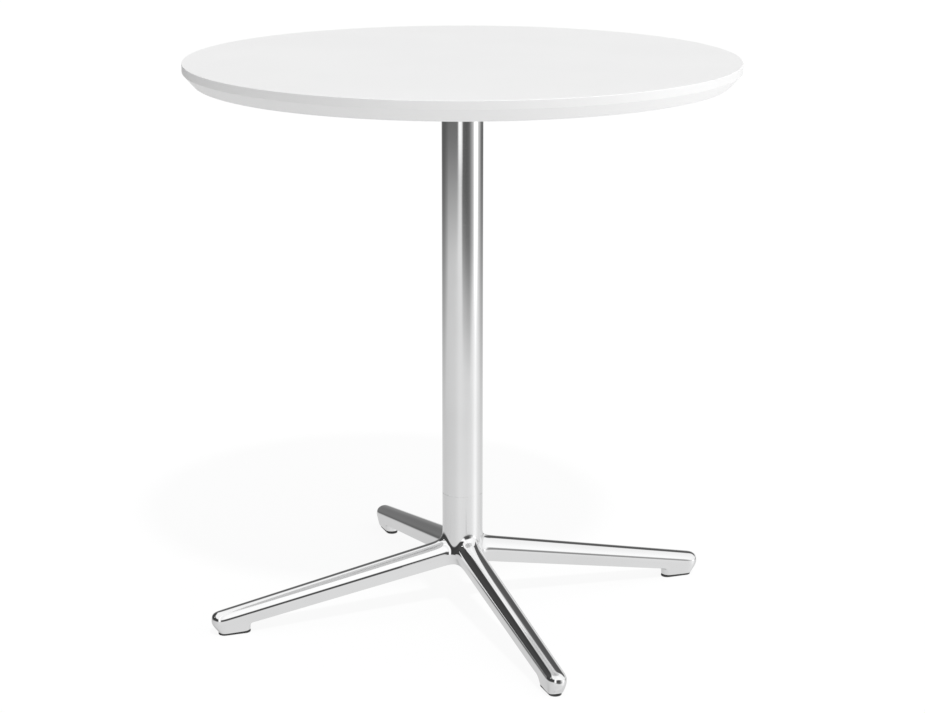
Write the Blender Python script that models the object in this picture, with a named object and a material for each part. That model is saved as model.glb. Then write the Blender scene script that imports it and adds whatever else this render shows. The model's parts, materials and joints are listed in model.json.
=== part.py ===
"""Round bistro table: bevelled top, cast spider, tube column and a one-piece four-arm base.

Metres, +Z up. The origin is on the floor under the column's centre, and the arms lie along X and Y.
"""
import math

import bmesh
import bpy
from mathutils import Matrix, Vector

# ---- overall sizes
TABLE_HEIGHT = 0.726
TOP_RADIUS = 0.350
TOP_THICKNESS = 0.0254
COLUMN_RADIUS = 0.0264
ARM_COUNT = 4
GAP = 0.0003  # clearance between two pieces that touch

# ---- table top
EDGE_BAND = 0.0104  # height of the vertical edge
BEVEL_INSET = 0.0135
LAMINATE = 0.0009
RIM_CHAMFER = 0.0006
TOP_SEGMENTS = 96
SCREW_RING = 0.128  # radius on which the top's screws stand

# ---- column tube
TUBE_WALL = 0.002
SEAM_Z = 0.156  # where tube and base meet
ROUND_SEGMENTS = 48

# ---- spider under the top
SPIDER_THICKNESS = 0.006
SPIDER_REACH = 0.150
SPIDER_ARM_WIDTH = 0.032
SPIDER_FILLET = 0.018
SOCKET_WALL = 0.0062
SOCKET_DEPTH = 0.024
SOCKET_ROOF = 0.0060  # below the plate

# ---- fasteners
SCREW_RADIUS = 0.003
SCREW_LENGTH = 0.018
SCREW_HEAD_RADIUS = 0.0058
SCREW_HEAD_HEIGHT = 0.0038
HEX_KEY = 0.0040  # across the flats of the screw heads' sockets
WASHER_RADIUS = 0.0075
WASHER_THICKNESS = 0.0014
INSERT_RADIUS = 0.0048
INSERT_LENGTH = 0.013
ROD_RADIUS = 0.00485
NUT_FLATS = 0.017
NUT_HEIGHT = 0.008
THIN_NUT_HEIGHT = 0.0055
ROD_WASHER_RADIUS = 0.010
ROD_WASHER_THICKNESS = 0.002
SPRING_WASHER_RADIUS = 0.009
SPRING_WASHER_THICKNESS = 0.0022

# ---- base arms: values at two radii, straight between them
ARM_IN = 0.060
ARM_OUT = 0.310
SHOULDER_HALF = (0.0160, 0.0130)  # half the widest width
CROWN_Z = (0.0852, 0.0356)
SHOULDER_Z = (0.0697, 0.0249)
BOTTOM_Z = (0.0528, 0.0111)
BOTTOM_HALF = (0.0100, 0.0112)
NOSE_TIP = 0.3424
ROOT_FILLET = 0.015  # plan radius between neighbouring arms
RIM_WIDTH = 0.0038  # wall beside the channel under each arm
CHANNEL_DEPTH = 0.009
CHANNEL_END = 0.278

# ---- base hub
HUB_BOTTOM_Z = 0.0610
POCKET_RADIUS = 0.013
POCKET_ROOF_Z = 0.080
ROD_BORE = 0.0056
WEB_TOP_Z = 0.098
NECK_BORE = 0.0195
SPIGOT_LENGTH = 0.020
HUB_STEP = math.radians(15)

# ---- feet
GLIDE_IN = 0.2915
GLIDE_OUT = 0.3339
GLIDE_WIDTH = 0.0163
GLIDE_THICKNESS = 0.0026
GLIDE_SCREW_RADIUS = 0.002
GLIDE_SCREW_HEAD = 0.0038
GLIDE_SCREW_LENGTH = 0.014
GLIDE_SCREW_KEY = 0.0025

# ---- heights that follow from the sizes above
UNDERSIDE_Z = TABLE_HEIGHT - TOP_THICKNESS
CORE_TOP_Z = TABLE_HEIGHT - LAMINATE - GAP
CORE_BOTTOM_Z = UNDERSIDE_Z + LAMINATE + GAP
PLATE_TOP_Z = UNDERSIDE_Z - GAP
PLATE_BOTTOM_Z = PLATE_TOP_Z - SPIDER_THICKNESS
SOCKET_ROOF_Z = PLATE_BOTTOM_Z - SOCKET_ROOF
SOCKET_MOUTH_Z = SOCKET_ROOF_Z - SOCKET_DEPTH
BOSS_BOTTOM_Z = GLIDE_THICKNESS + GAP
GLIDE_CENTRE = (GLIDE_IN + GLIDE_OUT) / 2


# ---- general helpers
def clear_scene():
    for old in list(bpy.data.objects):
        bpy.data.objects.remove(old, do_unlink=True)


def make_material(name, colour, roughness, metallic):
    made = bpy.data.materials.new(name)
    made.use_nodes = True
    shader = made.node_tree.nodes["Principled BSDF"]
    shader.inputs["Base Color"].default_value = (*colour, 1.0)
    shader.inputs["Roughness"].default_value = roughness
    shader.inputs["Metallic"].default_value = metallic
    return made


def add_object(name, bm, finish, smooth_above=math.radians(30)):
    bmesh.ops.recalc_face_normals(bm, faces=bm.faces)
    mesh = bpy.data.meshes.new(name)
    bm.to_mesh(mesh)
    bm.free()
    mesh.shade_smooth()
    mesh.set_sharp_from_angle(angle=smooth_above)
    piece = bpy.data.objects.new(name, mesh)
    bpy.context.scene.collection.objects.link(piece)
    if finish:
        mesh.materials.append(finish)
    return piece


def ring(radius, z, segments, start=0.0):
    """Points on a level circle; radius may be a function of the angle."""
    points = []
    for i in range(segments):
        angle = start + math.tau * i / segments
        reach = radius(angle) if callable(radius) else radius
        points.append(Vector((reach * math.cos(angle), reach * math.sin(angle), z)))
    return points


def join_loops(bm, loops, capped, place=Matrix.Identity(4)):
    """Skin a run of equal loops. Capped closes both ends, otherwise the last loop meets the first."""
    rows = [[bm.verts.new(place @ point) for point in loop] for loop in loops]
    count = len(rows[0])
    pairs = list(zip(rows, rows[1:]))
    if not capped:
        pairs.append((rows[-1], rows[0]))
    for low, high in pairs:
        for i in range(count):
            j = (i + 1) % count
            bm.faces.new((low[i], low[j], high[j], high[i]))
    if capped:
        bm.faces.new(rows[0])
        bm.faces.new(rows[-1])


def turned(name, profile, finish, capped=False, segments=ROUND_SEGMENTS):
    """A solid of revolution about Z from (radius, z) points."""
    bm = bmesh.new()
    join_loops(bm, [ring(radius, z, segments) for radius, z in profile], capped)
    return add_object(name, bm, finish)


def hexagon(across_flats):
    """Radius of a hexagon in a given direction, with a corner on +X."""
    def reach(angle):
        from_flat = (angle % math.radians(60)) - math.radians(30)
        return across_flats / 2 / math.cos(from_flat)
    return reach


def quarter_turns():
    return [Matrix.Rotation(math.tau * i / ARM_COUNT, 4, "Z") for i in range(ARM_COUNT)]


def four_copies(name, first):
    """Turn the first piece into four of the same, a quarter turn apart, that share its mesh."""
    home = first.matrix_world.copy()
    first.name = f"{name}_1"
    for number, turn in enumerate(quarter_turns()[1:], start=2):
        copy = bpy.data.objects.new(f"{name}_{number}", first.data)
        copy.matrix_world = turn @ home
        bpy.context.scene.collection.objects.link(copy)


def four_round(name, profile, radius, finish, capped=True, segments=12):
    """The same turned piece at each of the four places on one radius."""
    first = turned(name, profile, finish, capped, segments)
    first.matrix_world = Matrix.Translation((radius, 0, 0))
    four_copies(name, first)


def hole_cutters(name, profile, radius, segments=16):
    """One cutter that holds a turned shape at each of the four places on one radius."""
    bm = bmesh.new()
    for turn in quarter_turns():
        place = turn @ Matrix.Translation((radius, 0, 0))
        join_loops(bm, [ring(reach, z, segments) for reach, z in profile], True, place)
    return add_object(name, bm, None)


def cut(piece, cutter):
    cutter.hide_render = True
    cutter.display_type = "WIRE"
    boolean = piece.modifiers.new(cutter.name, "BOOLEAN")
    boolean.operation = "DIFFERENCE"
    boolean.solver = "EXACT"
    boolean.object = cutter


# ---- table top
def build_core(finish):
    band_z = TABLE_HEIGHT - EDGE_BAND
    slope = BEVEL_INSET / (band_z - UNDERSIDE_Z)
    foot_radius = TOP_RADIUS - slope * (band_z - CORE_BOTTOM_Z)
    profile = [
        (foot_radius, CORE_BOTTOM_Z),
        (TOP_RADIUS, band_z),
        (TOP_RADIUS, CORE_TOP_Z - RIM_CHAMFER),
        (TOP_RADIUS - RIM_CHAMFER, CORE_TOP_Z),
    ]
    core = turned("top_core", profile, finish, capped=True, segments=TOP_SEGMENTS)
    depth = INSERT_LENGTH + 0.002
    hole = INSERT_RADIUS + GAP
    holes = [(hole, CORE_BOTTOM_Z - 0.001), (hole, CORE_BOTTOM_Z + depth)]
    cut(core, hole_cutters("insert_hole_cutter", holes, SCREW_RING))


def build_laminates(finish):
    low = TABLE_HEIGHT - LAMINATE
    face_radius = TOP_RADIUS - RIM_CHAMFER
    face = [(face_radius, low), (face_radius, TABLE_HEIGHT - RIM_CHAMFER / 2),
            (face_radius - RIM_CHAMFER / 2, TABLE_HEIGHT)]
    turned("top_laminate", face, finish, capped=True, segments=TOP_SEGMENTS)

    back_radius = TOP_RADIUS - BEVEL_INSET
    back = [(back_radius, UNDERSIDE_Z), (back_radius, UNDERSIDE_Z + LAMINATE)]
    sheet = turned("top_backing", back, finish, capped=True, segments=TOP_SEGMENTS)
    clear = INSERT_RADIUS + 2 * GAP
    holes = [(clear, UNDERSIDE_Z - 0.001), (clear, UNDERSIDE_Z + LAMINATE + 0.0001)]
    cut(sheet, hole_cutters("backing_hole_cutter", holes, SCREW_RING))


# ---- spider
def spider_outline(z):
    """A cross with round ends and a fillet in each inner corner."""
    half = SPIDER_ARM_WIDTH / 2
    end_centre = SPIDER_REACH - half
    corner = half + SPIDER_FILLET
    quarter = []
    for i in range(9):
        angle = math.radians(-90 + 180 * i / 8)
        quarter.append(Vector((end_centre + half * math.cos(angle), half * math.sin(angle), z)))
    for i in range(7):
        angle = math.radians(270 - 90 * i / 6)
        quarter.append(Vector((corner + SPIDER_FILLET * math.cos(angle),
                               corner + SPIDER_FILLET * math.sin(angle), z)))
    return [turn @ point for turn in quarter_turns() for point in quarter]


def build_spider(finish):
    bm = bmesh.new()
    join_loops(bm, [spider_outline(PLATE_BOTTOM_Z), spider_outline(PLATE_TOP_Z)], True)
    spider = add_object("top_spider", bm, finish)

    boss_radius = COLUMN_RADIUS + GAP + SOCKET_WALL
    boss = turned("spider_boss", [(boss_radius - 0.001, SOCKET_MOUTH_Z),
                                  (boss_radius, SOCKET_MOUTH_Z + 0.001),
                                  (boss_radius + 0.0015, PLATE_BOTTOM_Z + 0.002)], None, capped=True)
    boss.hide_render = True
    boss.display_type = "WIRE"
    join = spider.modifiers.new("boss", "BOOLEAN")
    join.operation = "UNION"
    join.solver = "EXACT"
    join.object = boss

    socket_radius = COLUMN_RADIUS + GAP
    bore = ROD_RADIUS + GAP
    cut(spider, turned("socket_cutter", [(socket_radius, SOCKET_MOUTH_Z - 0.001),
                                         (socket_radius, SOCKET_ROOF_Z),
                                         (bore, SOCKET_ROOF_Z),
                                         (bore, PLATE_TOP_Z + 0.001)], None, capped=True))
    pocket = hexagon(NUT_FLATS + 2 * GAP)
    floor = PLATE_TOP_Z - THIN_NUT_HEIGHT - 2 * GAP
    cut(spider, turned("nut_pocket_cutter", [(pocket, floor), (pocket, PLATE_TOP_Z + 0.001)], None,
                       capped=True, segments=6))
    clear = SCREW_RADIUS + GAP
    holes = [(clear, PLATE_BOTTOM_Z - 0.001), (clear, PLATE_TOP_Z + 0.001)]
    cut(spider, hole_cutters("screw_hole_cutter", holes, SCREW_RING))


# ---- fasteners of the top
def build_top_fasteners(steel, brass):
    washer_top = PLATE_BOTTOM_Z - GAP
    washer_low = washer_top - WASHER_THICKNESS
    bore = SCREW_RADIUS + GAP
    washer = [(bore, washer_low), (WASHER_RADIUS, washer_low), (WASHER_RADIUS, washer_top), (bore, washer_top)]
    four_round("top_washer", washer, SCREW_RING, steel, capped=False, segments=16)

    head_top = washer_low - GAP
    head_low = head_top - SCREW_HEAD_HEIGHT
    key = hexagon(HEX_KEY)
    screw = [
        (key, head_top - 0.0010),
        (key, head_low),
        (SCREW_HEAD_RADIUS - 0.0016, head_low),
        (SCREW_HEAD_RADIUS - 0.0003, head_low + 0.0014),
        (SCREW_HEAD_RADIUS, head_top),
        (SCREW_RADIUS, head_top),
        (SCREW_RADIUS, head_top + SCREW_LENGTH - 0.0008),
        (SCREW_RADIUS - 0.0008, head_top + SCREW_LENGTH),
    ]
    four_round("top_screw", screw, SCREW_RING, steel)

    low = CORE_BOTTOM_Z
    high = low + INSERT_LENGTH
    insert = [(bore, low), (INSERT_RADIUS, low), (INSERT_RADIUS, high - 0.001),
              (INSERT_RADIUS - 0.001, high), (bore, high)]
    four_round("threaded_insert", insert, SCREW_RING, brass, capped=False)


# ---- column
def build_column(chrome):
    inner = COLUMN_RADIUS - TUBE_WALL
    low = SEAM_Z + GAP
    high = SOCKET_ROOF_Z - GAP
    edge = 0.0004
    profile = [(inner, low), (COLUMN_RADIUS - edge, low), (COLUMN_RADIUS, low + edge),
               (COLUMN_RADIUS, high - edge), (COLUMN_RADIUS - edge, high), (inner, high)]
    turned("column_tube", profile, chrome)


def build_nut(name, low, height, finish):
    """Hexagon nut with a round bore, its corners chamfered by a lower ring at each end."""
    flats = hexagon(NUT_FLATS)
    bore = ROD_RADIUS + GAP
    chamfer = 0.0007
    chamfered = NUT_FLATS / 2
    turned(name, [(bore, low), (chamfered, low), (flats, low + chamfer),
                  (flats, low + height - chamfer), (chamfered, low + height), (bore, low + height)],
           finish, segments=24)


def build_tie_rod(steel):
    upper_nut_low = PLATE_TOP_Z - THIN_NUT_HEIGHT - GAP
    build_nut("rod_upper_nut", upper_nut_low, THIN_NUT_HEIGHT, steel)

    washer_top = POCKET_ROOF_Z - GAP
    washer_low = washer_top - ROD_WASHER_THICKNESS
    bore = ROD_RADIUS + GAP
    turned("rod_washer", [(bore, washer_low), (ROD_WASHER_RADIUS, washer_low),
                          (ROD_WASHER_RADIUS, washer_top), (bore, washer_top)], steel, segments=32)
    spring_top = washer_low - GAP
    build_spring_washer(spring_top - SPRING_WASHER_THICKNESS, bore, steel)
    nut_low = spring_top - SPRING_WASHER_THICKNESS - GAP - NUT_HEIGHT
    build_nut("rod_lower_nut", nut_low, NUT_HEIGHT, steel)

    rod_low = nut_low - 0.0015
    rod_high = PLATE_TOP_Z - GAP
    tip = 0.0010
    turned("tie_rod", [(ROD_RADIUS - tip, rod_low), (ROD_RADIUS, rod_low + tip),
                       (ROD_RADIUS, rod_high - tip), (ROD_RADIUS - tip, rod_high)], steel,
           capped=True, segments=24)


def build_spring_washer(low, bore, finish):
    """A ring with a narrow split, one end of the split a little above the other."""
    bm = bmesh.new()
    steps = 24
    split = math.radians(14)
    rise = 0.0002
    sections = []
    for i in range(steps + 1):
        share = i / steps
        angle = split / 2 + (math.tau - split) * share
        across = Vector((math.cos(angle), math.sin(angle), 0))
        base = low + rise * share
        top = low + SPRING_WASHER_THICKNESS - rise * (1 - share)
        sections.append([across * bore + Vector((0, 0, base)),
                         across * SPRING_WASHER_RADIUS + Vector((0, 0, base)),
                         across * SPRING_WASHER_RADIUS + Vector((0, 0, top)),
                         across * bore + Vector((0, 0, top))])
    join_loops(bm, sections, True)
    add_object("rod_spring_washer", bm, finish)


# ---- base casting: a quad cage for a subdivision surface, drawn for one eighth and mirrored round
def along(radius, ends):
    """Straight line through a value at ARM_IN and one at ARM_OUT."""
    share = (radius - ARM_IN) / (ARM_OUT - ARM_IN)
    return ends[0] + (ends[1] - ends[0]) * share


def pull(step):
    """How much larger a round control polygon is than the smooth circle it makes."""
    return 3 / (2 + math.cos(step))


DOME_STEP = math.radians(30)
DOME = [i * DOME_STEP for i in range(4)]
CROWN, UPPER, HAUNCH, SHOULDER, SIDE, LOW_SIDE, EDGE, RIM, ROOF, ROOF_MID = range(10)
MID = "mid"  # the underside's centre line where there is no channel


def dome_row(radius, row):
    """(half width, height) of a control point on the arm's round top."""
    grow = pull(DOME_STEP)
    half = along(radius, SHOULDER_HALF) * grow * math.sin(DOME[row])
    shoulder_z = along(radius, SHOULDER_Z)
    rise = (along(radius, CROWN_Z) - shoulder_z) * grow * math.cos(DOME[row])
    return half, shoulder_z + rise


def side_half(radius, z):
    """Half width of the drafted side below the shoulder."""
    top = along(radius, SHOULDER_Z)
    bottom = along(radius, BOTTOM_Z)
    share = (top - z) / (top - bottom)
    return along(radius, SHOULDER_HALF) * (1 - share) + along(radius, BOTTOM_HALF) * share


def arm_section(radius, with_channel):
    """Cage points of one cross-section of an arm, keyed by row."""
    points = {}
    for row in (CROWN, UPPER, HAUNCH, SHOULDER):
        half, z = dome_row(radius, row)
        points[row] = (radius, half, z)
    bottom = along(radius, BOTTOM_Z)
    side_z = (along(radius, SHOULDER_Z) + bottom) / 2
    low_z = bottom + 0.0022
    points[SIDE] = (radius, side_half(radius, side_z), side_z)
    points[LOW_SIDE] = (radius, side_half(radius, low_z), low_z)
    points[EDGE] = (radius, side_half(radius, bottom), bottom)
    rim_half = side_half(radius, bottom) - RIM_WIDTH
    points[RIM] = (radius, rim_half, bottom)
    if with_channel:
        roof_z = bottom + CHANNEL_DEPTH
        points[ROOF] = (radius, rim_half - 0.001, roof_z)
        points[ROOF_MID] = (radius, 0.0, roof_z)
    else:
        points[MID] = (radius, 0.0, bottom)
    return points


def foot_half(x, z):
    """Half width of the boss's side, which leans in a little more than the arm's."""
    lean = 0.23
    return side_half(x, along(x, BOTTOM_Z)) - lean * (along(x, BOTTOM_Z) - z)


def tip_sections():
    """Sections from the channel's end to the centre of the nose; the boss grows down in the second."""
    step_z = along(GLIDE_IN, BOTTOM_Z) - 0.0002
    floor_z = BOSS_BOTTOM_Z
    low_z = floor_z + 0.0022
    nose_centre = NOSE_TIP - along(NOSE_TIP, SHOULDER_HALF)

    before = arm_section(GLIDE_IN - 0.006, False)

    upper = arm_section(GLIDE_IN, False)
    upper[SIDE] = (GLIDE_IN + 0.001, side_half(GLIDE_IN, step_z + 0.008), step_z + 0.008)
    upper[LOW_SIDE] = (GLIDE_IN + 0.006, side_half(GLIDE_IN, step_z + 0.003), step_z + 0.003)
    upper[EDGE] = (GLIDE_IN + 0.004, side_half(GLIDE_IN, step_z), step_z)
    upper[RIM] = (GLIDE_IN + 0.0008, 0.0058, step_z)
    upper[MID] = (GLIDE_IN - 0.0002, 0.0, step_z)

    wall = arm_section(GLIDE_IN + 0.006, False)
    wall_z = floor_z + 0.0024
    wall[SIDE] = (GLIDE_IN + 0.0075, side_half(GLIDE_IN, step_z + 0.006), step_z + 0.006)
    wall[LOW_SIDE] = (GLIDE_IN + 0.0080, foot_half(GLIDE_IN, wall_z + 0.0024), wall_z + 0.0024)
    wall[EDGE] = (GLIDE_IN + 0.0062, foot_half(GLIDE_IN, wall_z), wall_z)
    wall[RIM] = (GLIDE_IN + 0.0012, 0.0057, wall_z)
    wall[MID] = (GLIDE_IN - 0.0003, 0.0, wall_z)

    lower = arm_section(GLIDE_IN + 0.010, False)
    lower[LOW_SIDE] = (GLIDE_IN + 0.0085, foot_half(GLIDE_IN, low_z), low_z)
    lower[EDGE] = (GLIDE_IN + 0.0062, foot_half(GLIDE_IN, floor_z), floor_z)
    lower[RIM] = (GLIDE_IN + 0.0013, 0.0054, floor_z)
    lower[MID] = (GLIDE_IN - 0.0002, 0.0, floor_z)

    sections = [before, upper, wall, lower]
    for x in (GLIDE_IN + 0.013, GLIDE_IN + 0.027, nose_centre):
        made = arm_section(x, False)
        made[LOW_SIDE] = (x, foot_half(x, low_z), low_z)
        made[EDGE] = (x, foot_half(x, floor_z), floor_z)
        made[RIM] = (x, 0.0048, floor_z)
        made[MID] = (x, 0.0, floor_z)
        sections.append(made)
    sections[4][RIM] = (GLIDE_IN + 0.010, 0.0050, floor_z)
    sections[4][MID] = (GLIDE_IN + 0.006, 0.0, floor_z)
    last = sections[-1]
    last[LOW_SIDE] = (nose_centre - 0.003, last[LOW_SIDE][1], low_z)
    last[EDGE] = (nose_centre - 0.004, last[EDGE][1], floor_z)
    last[RIM] = (nose_centre - 0.004, 0.0046, floor_z)
    last[MID] = (nose_centre - 0.004, 0.0, floor_z)
    return sections


def nose_sections(centre_section):
    """Two sections round the nose and the column on its centre line."""
    nose_centre = centre_section[CROWN][0]
    half = along(nose_centre, SHOULDER_HALF)
    shoulder_z = along(nose_centre, SHOULDER_Z)
    rise = along(nose_centre, CROWN_Z) - shoulder_z
    grow = pull(DOME_STEP)
    foot_tip = {SHOULDER: NOSE_TIP, SIDE: NOSE_TIP + 0.0004, LOW_SIDE: NOSE_TIP - 0.0078,
                EDGE: GLIDE_OUT + 0.0004}
    drop = 0.0008  # the widest line dips towards the tip
    made = []
    for reach, turn in ((0.50, math.radians(30)), (0.82, math.radians(60))):
        section = {}
        shrink = math.sqrt(1 - reach * reach) * grow
        for row in (CROWN, UPPER, HAUNCH):
            section[row] = (nose_centre + half * reach * grow,
                            half * shrink * math.sin(DOME[row]),
                            shoulder_z + rise * shrink * math.cos(DOME[row]))
        section[HAUNCH] = tuple(Vector(section[HAUNCH]) - Vector((0, 0, drop * reach ** 3 * 0.7)))
        for row in (SHOULDER, SIDE, LOW_SIDE, EDGE):
            start = centre_section[row]
            tip = foot_tip[row]
            length = (tip - start[0]) * grow
            low = drop * reach ** 3 if row == SHOULDER else 0.0
            section[row] = (start[0] + length * math.sin(turn),
                            start[1] * math.cos(turn) * (1 if row == SHOULDER else grow), start[2] - low)
        made.append(section)
    centre = {HAUNCH: (nose_centre + half * 0.945 * grow, 0.0, shoulder_z + rise * 0.285 * grow - drop * 0.7)}
    for row in (SHOULDER, SIDE, LOW_SIDE, EDGE):
        start = centre_section[row]
        low = drop if row == SHOULDER else 0.0
        centre[row] = (start[0] + (foot_tip[row] - start[0]) * grow, 0.0, start[2] - low)
    return made + [centre]


def hub_points():
    """Points between two arms: half way round the root fillet and on the diagonal."""
    root = ARM_IN - 0.026
    middle = along(root, SHOULDER_HALF) + ROOT_FILLET
    heights = {
        SHOULDER: (along(root, SHOULDER_Z) + 0.0005, along(root, SHOULDER_Z) + 0.0010),
        SIDE: (0.0672, 0.0682),
        LOW_SIDE: (0.0616, 0.0638),
        EDGE: (0.0594, 0.0615),
        RIM: (0.0598, 0.0613),
    }
    halves = {row: arm_section(root, False)[row][1] for row in heights}
    spread, diagonal = {}, {}
    for row, (spread_z, diagonal_z) in heights.items():
        bend = (middle - halves[row]) * pull(math.radians(22.5))
        for target, turn, z in ((spread, 22.5, spread_z), (diagonal, 45.0, diagonal_z)):
            angle = math.radians(turn)
            target[row] = (middle - bend * math.sin(angle), middle - bend * math.cos(angle), z)
    return spread, diagonal


def turned_ring(radius, z):
    """Four points of a centre ring within one eighth; either size may differ from point to point."""
    heights = z if isinstance(z, tuple) else (z,) * 4
    reach = radius if isinstance(radius, tuple) else (radius,) * 4
    grow = pull(HUB_STEP)
    return [(reach[i] * grow * math.cos(i * HUB_STEP), reach[i] * grow * math.sin(i * HUB_STEP), heights[i])
            for i in range(4)]


def centre_rings():
    """Rings from the pocket's mouth, up the bore and over the spigot, down to the neck's foot.

    Each entry is the ring and whether its edge stays sharp.
    """
    spigot = COLUMN_RADIUS - TUBE_WALL - GAP
    top = SEAM_Z + SPIGOT_LENGTH
    return [
        (turned_ring(POCKET_RADIUS, HUB_BOTTOM_Z), True),
        (turned_ring(POCKET_RADIUS, POCKET_ROOF_Z), True),
        (turned_ring(ROD_BORE, POCKET_ROOF_Z), True),
        (turned_ring(ROD_BORE, WEB_TOP_Z), True),
        (turned_ring(NECK_BORE, WEB_TOP_Z), True),
        (turned_ring(NECK_BORE, top), True),
        (turned_ring(spigot - 0.0008, top), True),
        (turned_ring(spigot, SEAM_Z), True),
        (turned_ring(COLUMN_RADIUS - 0.0005, SEAM_Z), True),
        (turned_ring(COLUMN_RADIUS, SEAM_Z - 0.0005), True),
        (turned_ring(COLUMN_RADIUS, (0.1100, 0.1095, 0.1030, 0.0955)), False),
        (turned_ring(COLUMN_RADIUS, (0.1015, 0.1010, 0.0935, 0.0865)), False),
        (turned_ring((0.0285, 0.0281, 0.0272, 0.0268), (0.0950, 0.0942, 0.0870, 0.0810)), False),
    ]


class EighthCage:
    """Collects quads of one eighth of the base and copies them into all eight."""

    def __init__(self):
        self.quads = []
        self.sharp = []

    def strip(self, first, second, rows):
        for a, b in zip(rows, rows[1:]):
            self.quads.append((first[a], first[b], second[b], second[a]))

    def face(self, *points):
        self.quads.append(points)

    def write(self, bm):
        crease = bm.edges.layers.float.new("crease_edge")
        known = {}

        def vertex(point):
            key = tuple(round(value * 1e6) for value in point)
            if key not in known:
                known[key] = bm.verts.new(point)
            return known[key]

        for turn in quarter_turns():
            for flip in (1, -1):
                place = turn @ Matrix.Diagonal((1, flip, 1, 1))
                for quad in self.quads:
                    corners = []
                    for point in quad:
                        found = vertex(place @ Vector(point))
                        if found not in corners:
                            corners.append(found)
                    bm.faces.new(corners if flip > 0 else corners[::-1])
                for start, end in self.sharp:
                    edge = bm.edges.get((vertex(place @ Vector(start)), vertex(place @ Vector(end))))
                    edge[crease] = 1.0


def build_cage(bm):
    cage = EighthCage()
    outer_rows = list(range(CROWN, RIM + 1))
    channel_rows = list(range(CROWN, ROOF_MID + 1))

    # arm, from its root to the end of the channel
    root = ARM_IN - 0.026
    channel = [arm_section(x, True) for x in (root, 0.050, 0.165, CHANNEL_END)]
    for first, second in zip(channel, channel[1:]):
        cage.strip(first, second, channel_rows)
    start, end = channel[0], channel[-1]
    start_mid = (start[RIM][0], 0.0, start[RIM][2])
    end_mid = (end[RIM][0], 0.0, end[RIM][2])
    cage.face(start[RIM], start[ROOF], start[ROOF_MID], start_mid)
    cage.face(end[ROOF], end[RIM], end_mid, end[ROOF_MID])

    # boss and nose
    solid = [dict(end)] + tip_sections()
    solid[0][MID] = end_mid
    for first, second in zip(solid, solid[1:]):
        cage.strip(first, second, outer_rows + [MID])
    centre_section = solid[-1]
    around = nose_sections(centre_section)
    side_rows = list(range(CROWN, EDGE + 1))
    cage.strip(centre_section, around[0], side_rows)
    cage.strip(around[0], around[1], side_rows)
    tip = around[2]
    cage.face(around[1][CROWN], around[1][UPPER], around[1][HAUNCH], tip[HAUNCH])
    cage.strip(around[1], tip, [HAUNCH, SHOULDER, SIDE, LOW_SIDE, EDGE])
    cage.face(centre_section[RIM], centre_section[EDGE], around[0][EDGE], around[1][EDGE])
    cage.face(centre_section[MID], centre_section[RIM], around[1][EDGE], tip[EDGE])

    # between the arms, and under the hub
    spread, diagonal = hub_points()
    wrap_rows = [SHOULDER, SIDE, LOW_SIDE, EDGE, RIM]
    cage.strip(spread, start, wrap_rows)
    cage.strip(diagonal, spread, wrap_rows)

    rings = centre_rings()
    mouth = rings[0][0]
    cage.face(mouth[0], mouth[1], start[RIM], start_mid)
    cage.face(mouth[1], mouth[2], spread[RIM], start[RIM])
    cage.face(mouth[2], mouth[3], diagonal[RIM], spread[RIM])

    # bore, spigot and neck
    for (lower, _), (upper, _) in zip(rings, rings[1:]):
        for i in range(3):
            cage.face(lower[i], lower[i + 1], upper[i + 1], upper[i])
    for points, is_sharp in rings:
        if is_sharp:
            cage.sharp += list(zip(points, points[1:]))

    # neck foot to the arm's round top
    foot = rings[-1][0]
    cage.face(foot[0], foot[1], start[UPPER], start[CROWN])
    cage.face(foot[1], foot[2], start[HAUNCH], start[UPPER])
    cage.face(foot[2], spread[SHOULDER], start[SHOULDER], start[HAUNCH])
    cage.face(foot[2], foot[3], diagonal[SHOULDER], spread[SHOULDER])
    cage.write(bm)


def build_base(finish):
    bm = bmesh.new()
    build_cage(bm)
    base = add_object("base_casting", bm, finish, math.radians(180))
    smooth = base.modifiers.new("smooth", "SUBSURF")
    smooth.levels = 1
    smooth.render_levels = 1
    hole = GLIDE_SCREW_RADIUS + GAP
    holes = [(hole, BOSS_BOTTOM_Z - 0.001), (hole, BOSS_BOTTOM_Z + GLIDE_SCREW_LENGTH)]
    cut(base, hole_cutters("glide_hole_cutter", holes, GLIDE_CENTRE, segments=12))


# ---- feet
def glide_outline(shrink, z, segments=20):
    """Stadium along X, starting on its long axis so that it lines up with a circle's points."""
    half = GLIDE_WIDTH / 2 - shrink
    straight = (GLIDE_OUT - GLIDE_IN - GLIDE_WIDTH) / 2
    points = []
    for i in range(segments):
        angle = math.tau * (i + 0.5) / segments
        offset = math.copysign(straight, math.cos(angle))
        points.append(Vector((GLIDE_CENTRE + offset + half * math.cos(angle), half * math.sin(angle), z)))
    return points


def glide_hole(radius, z, segments=20):
    start = math.tau * 0.5 / segments
    return [point + Vector((GLIDE_CENTRE, 0, 0)) for point in ring(radius, z, segments, start)]


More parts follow.
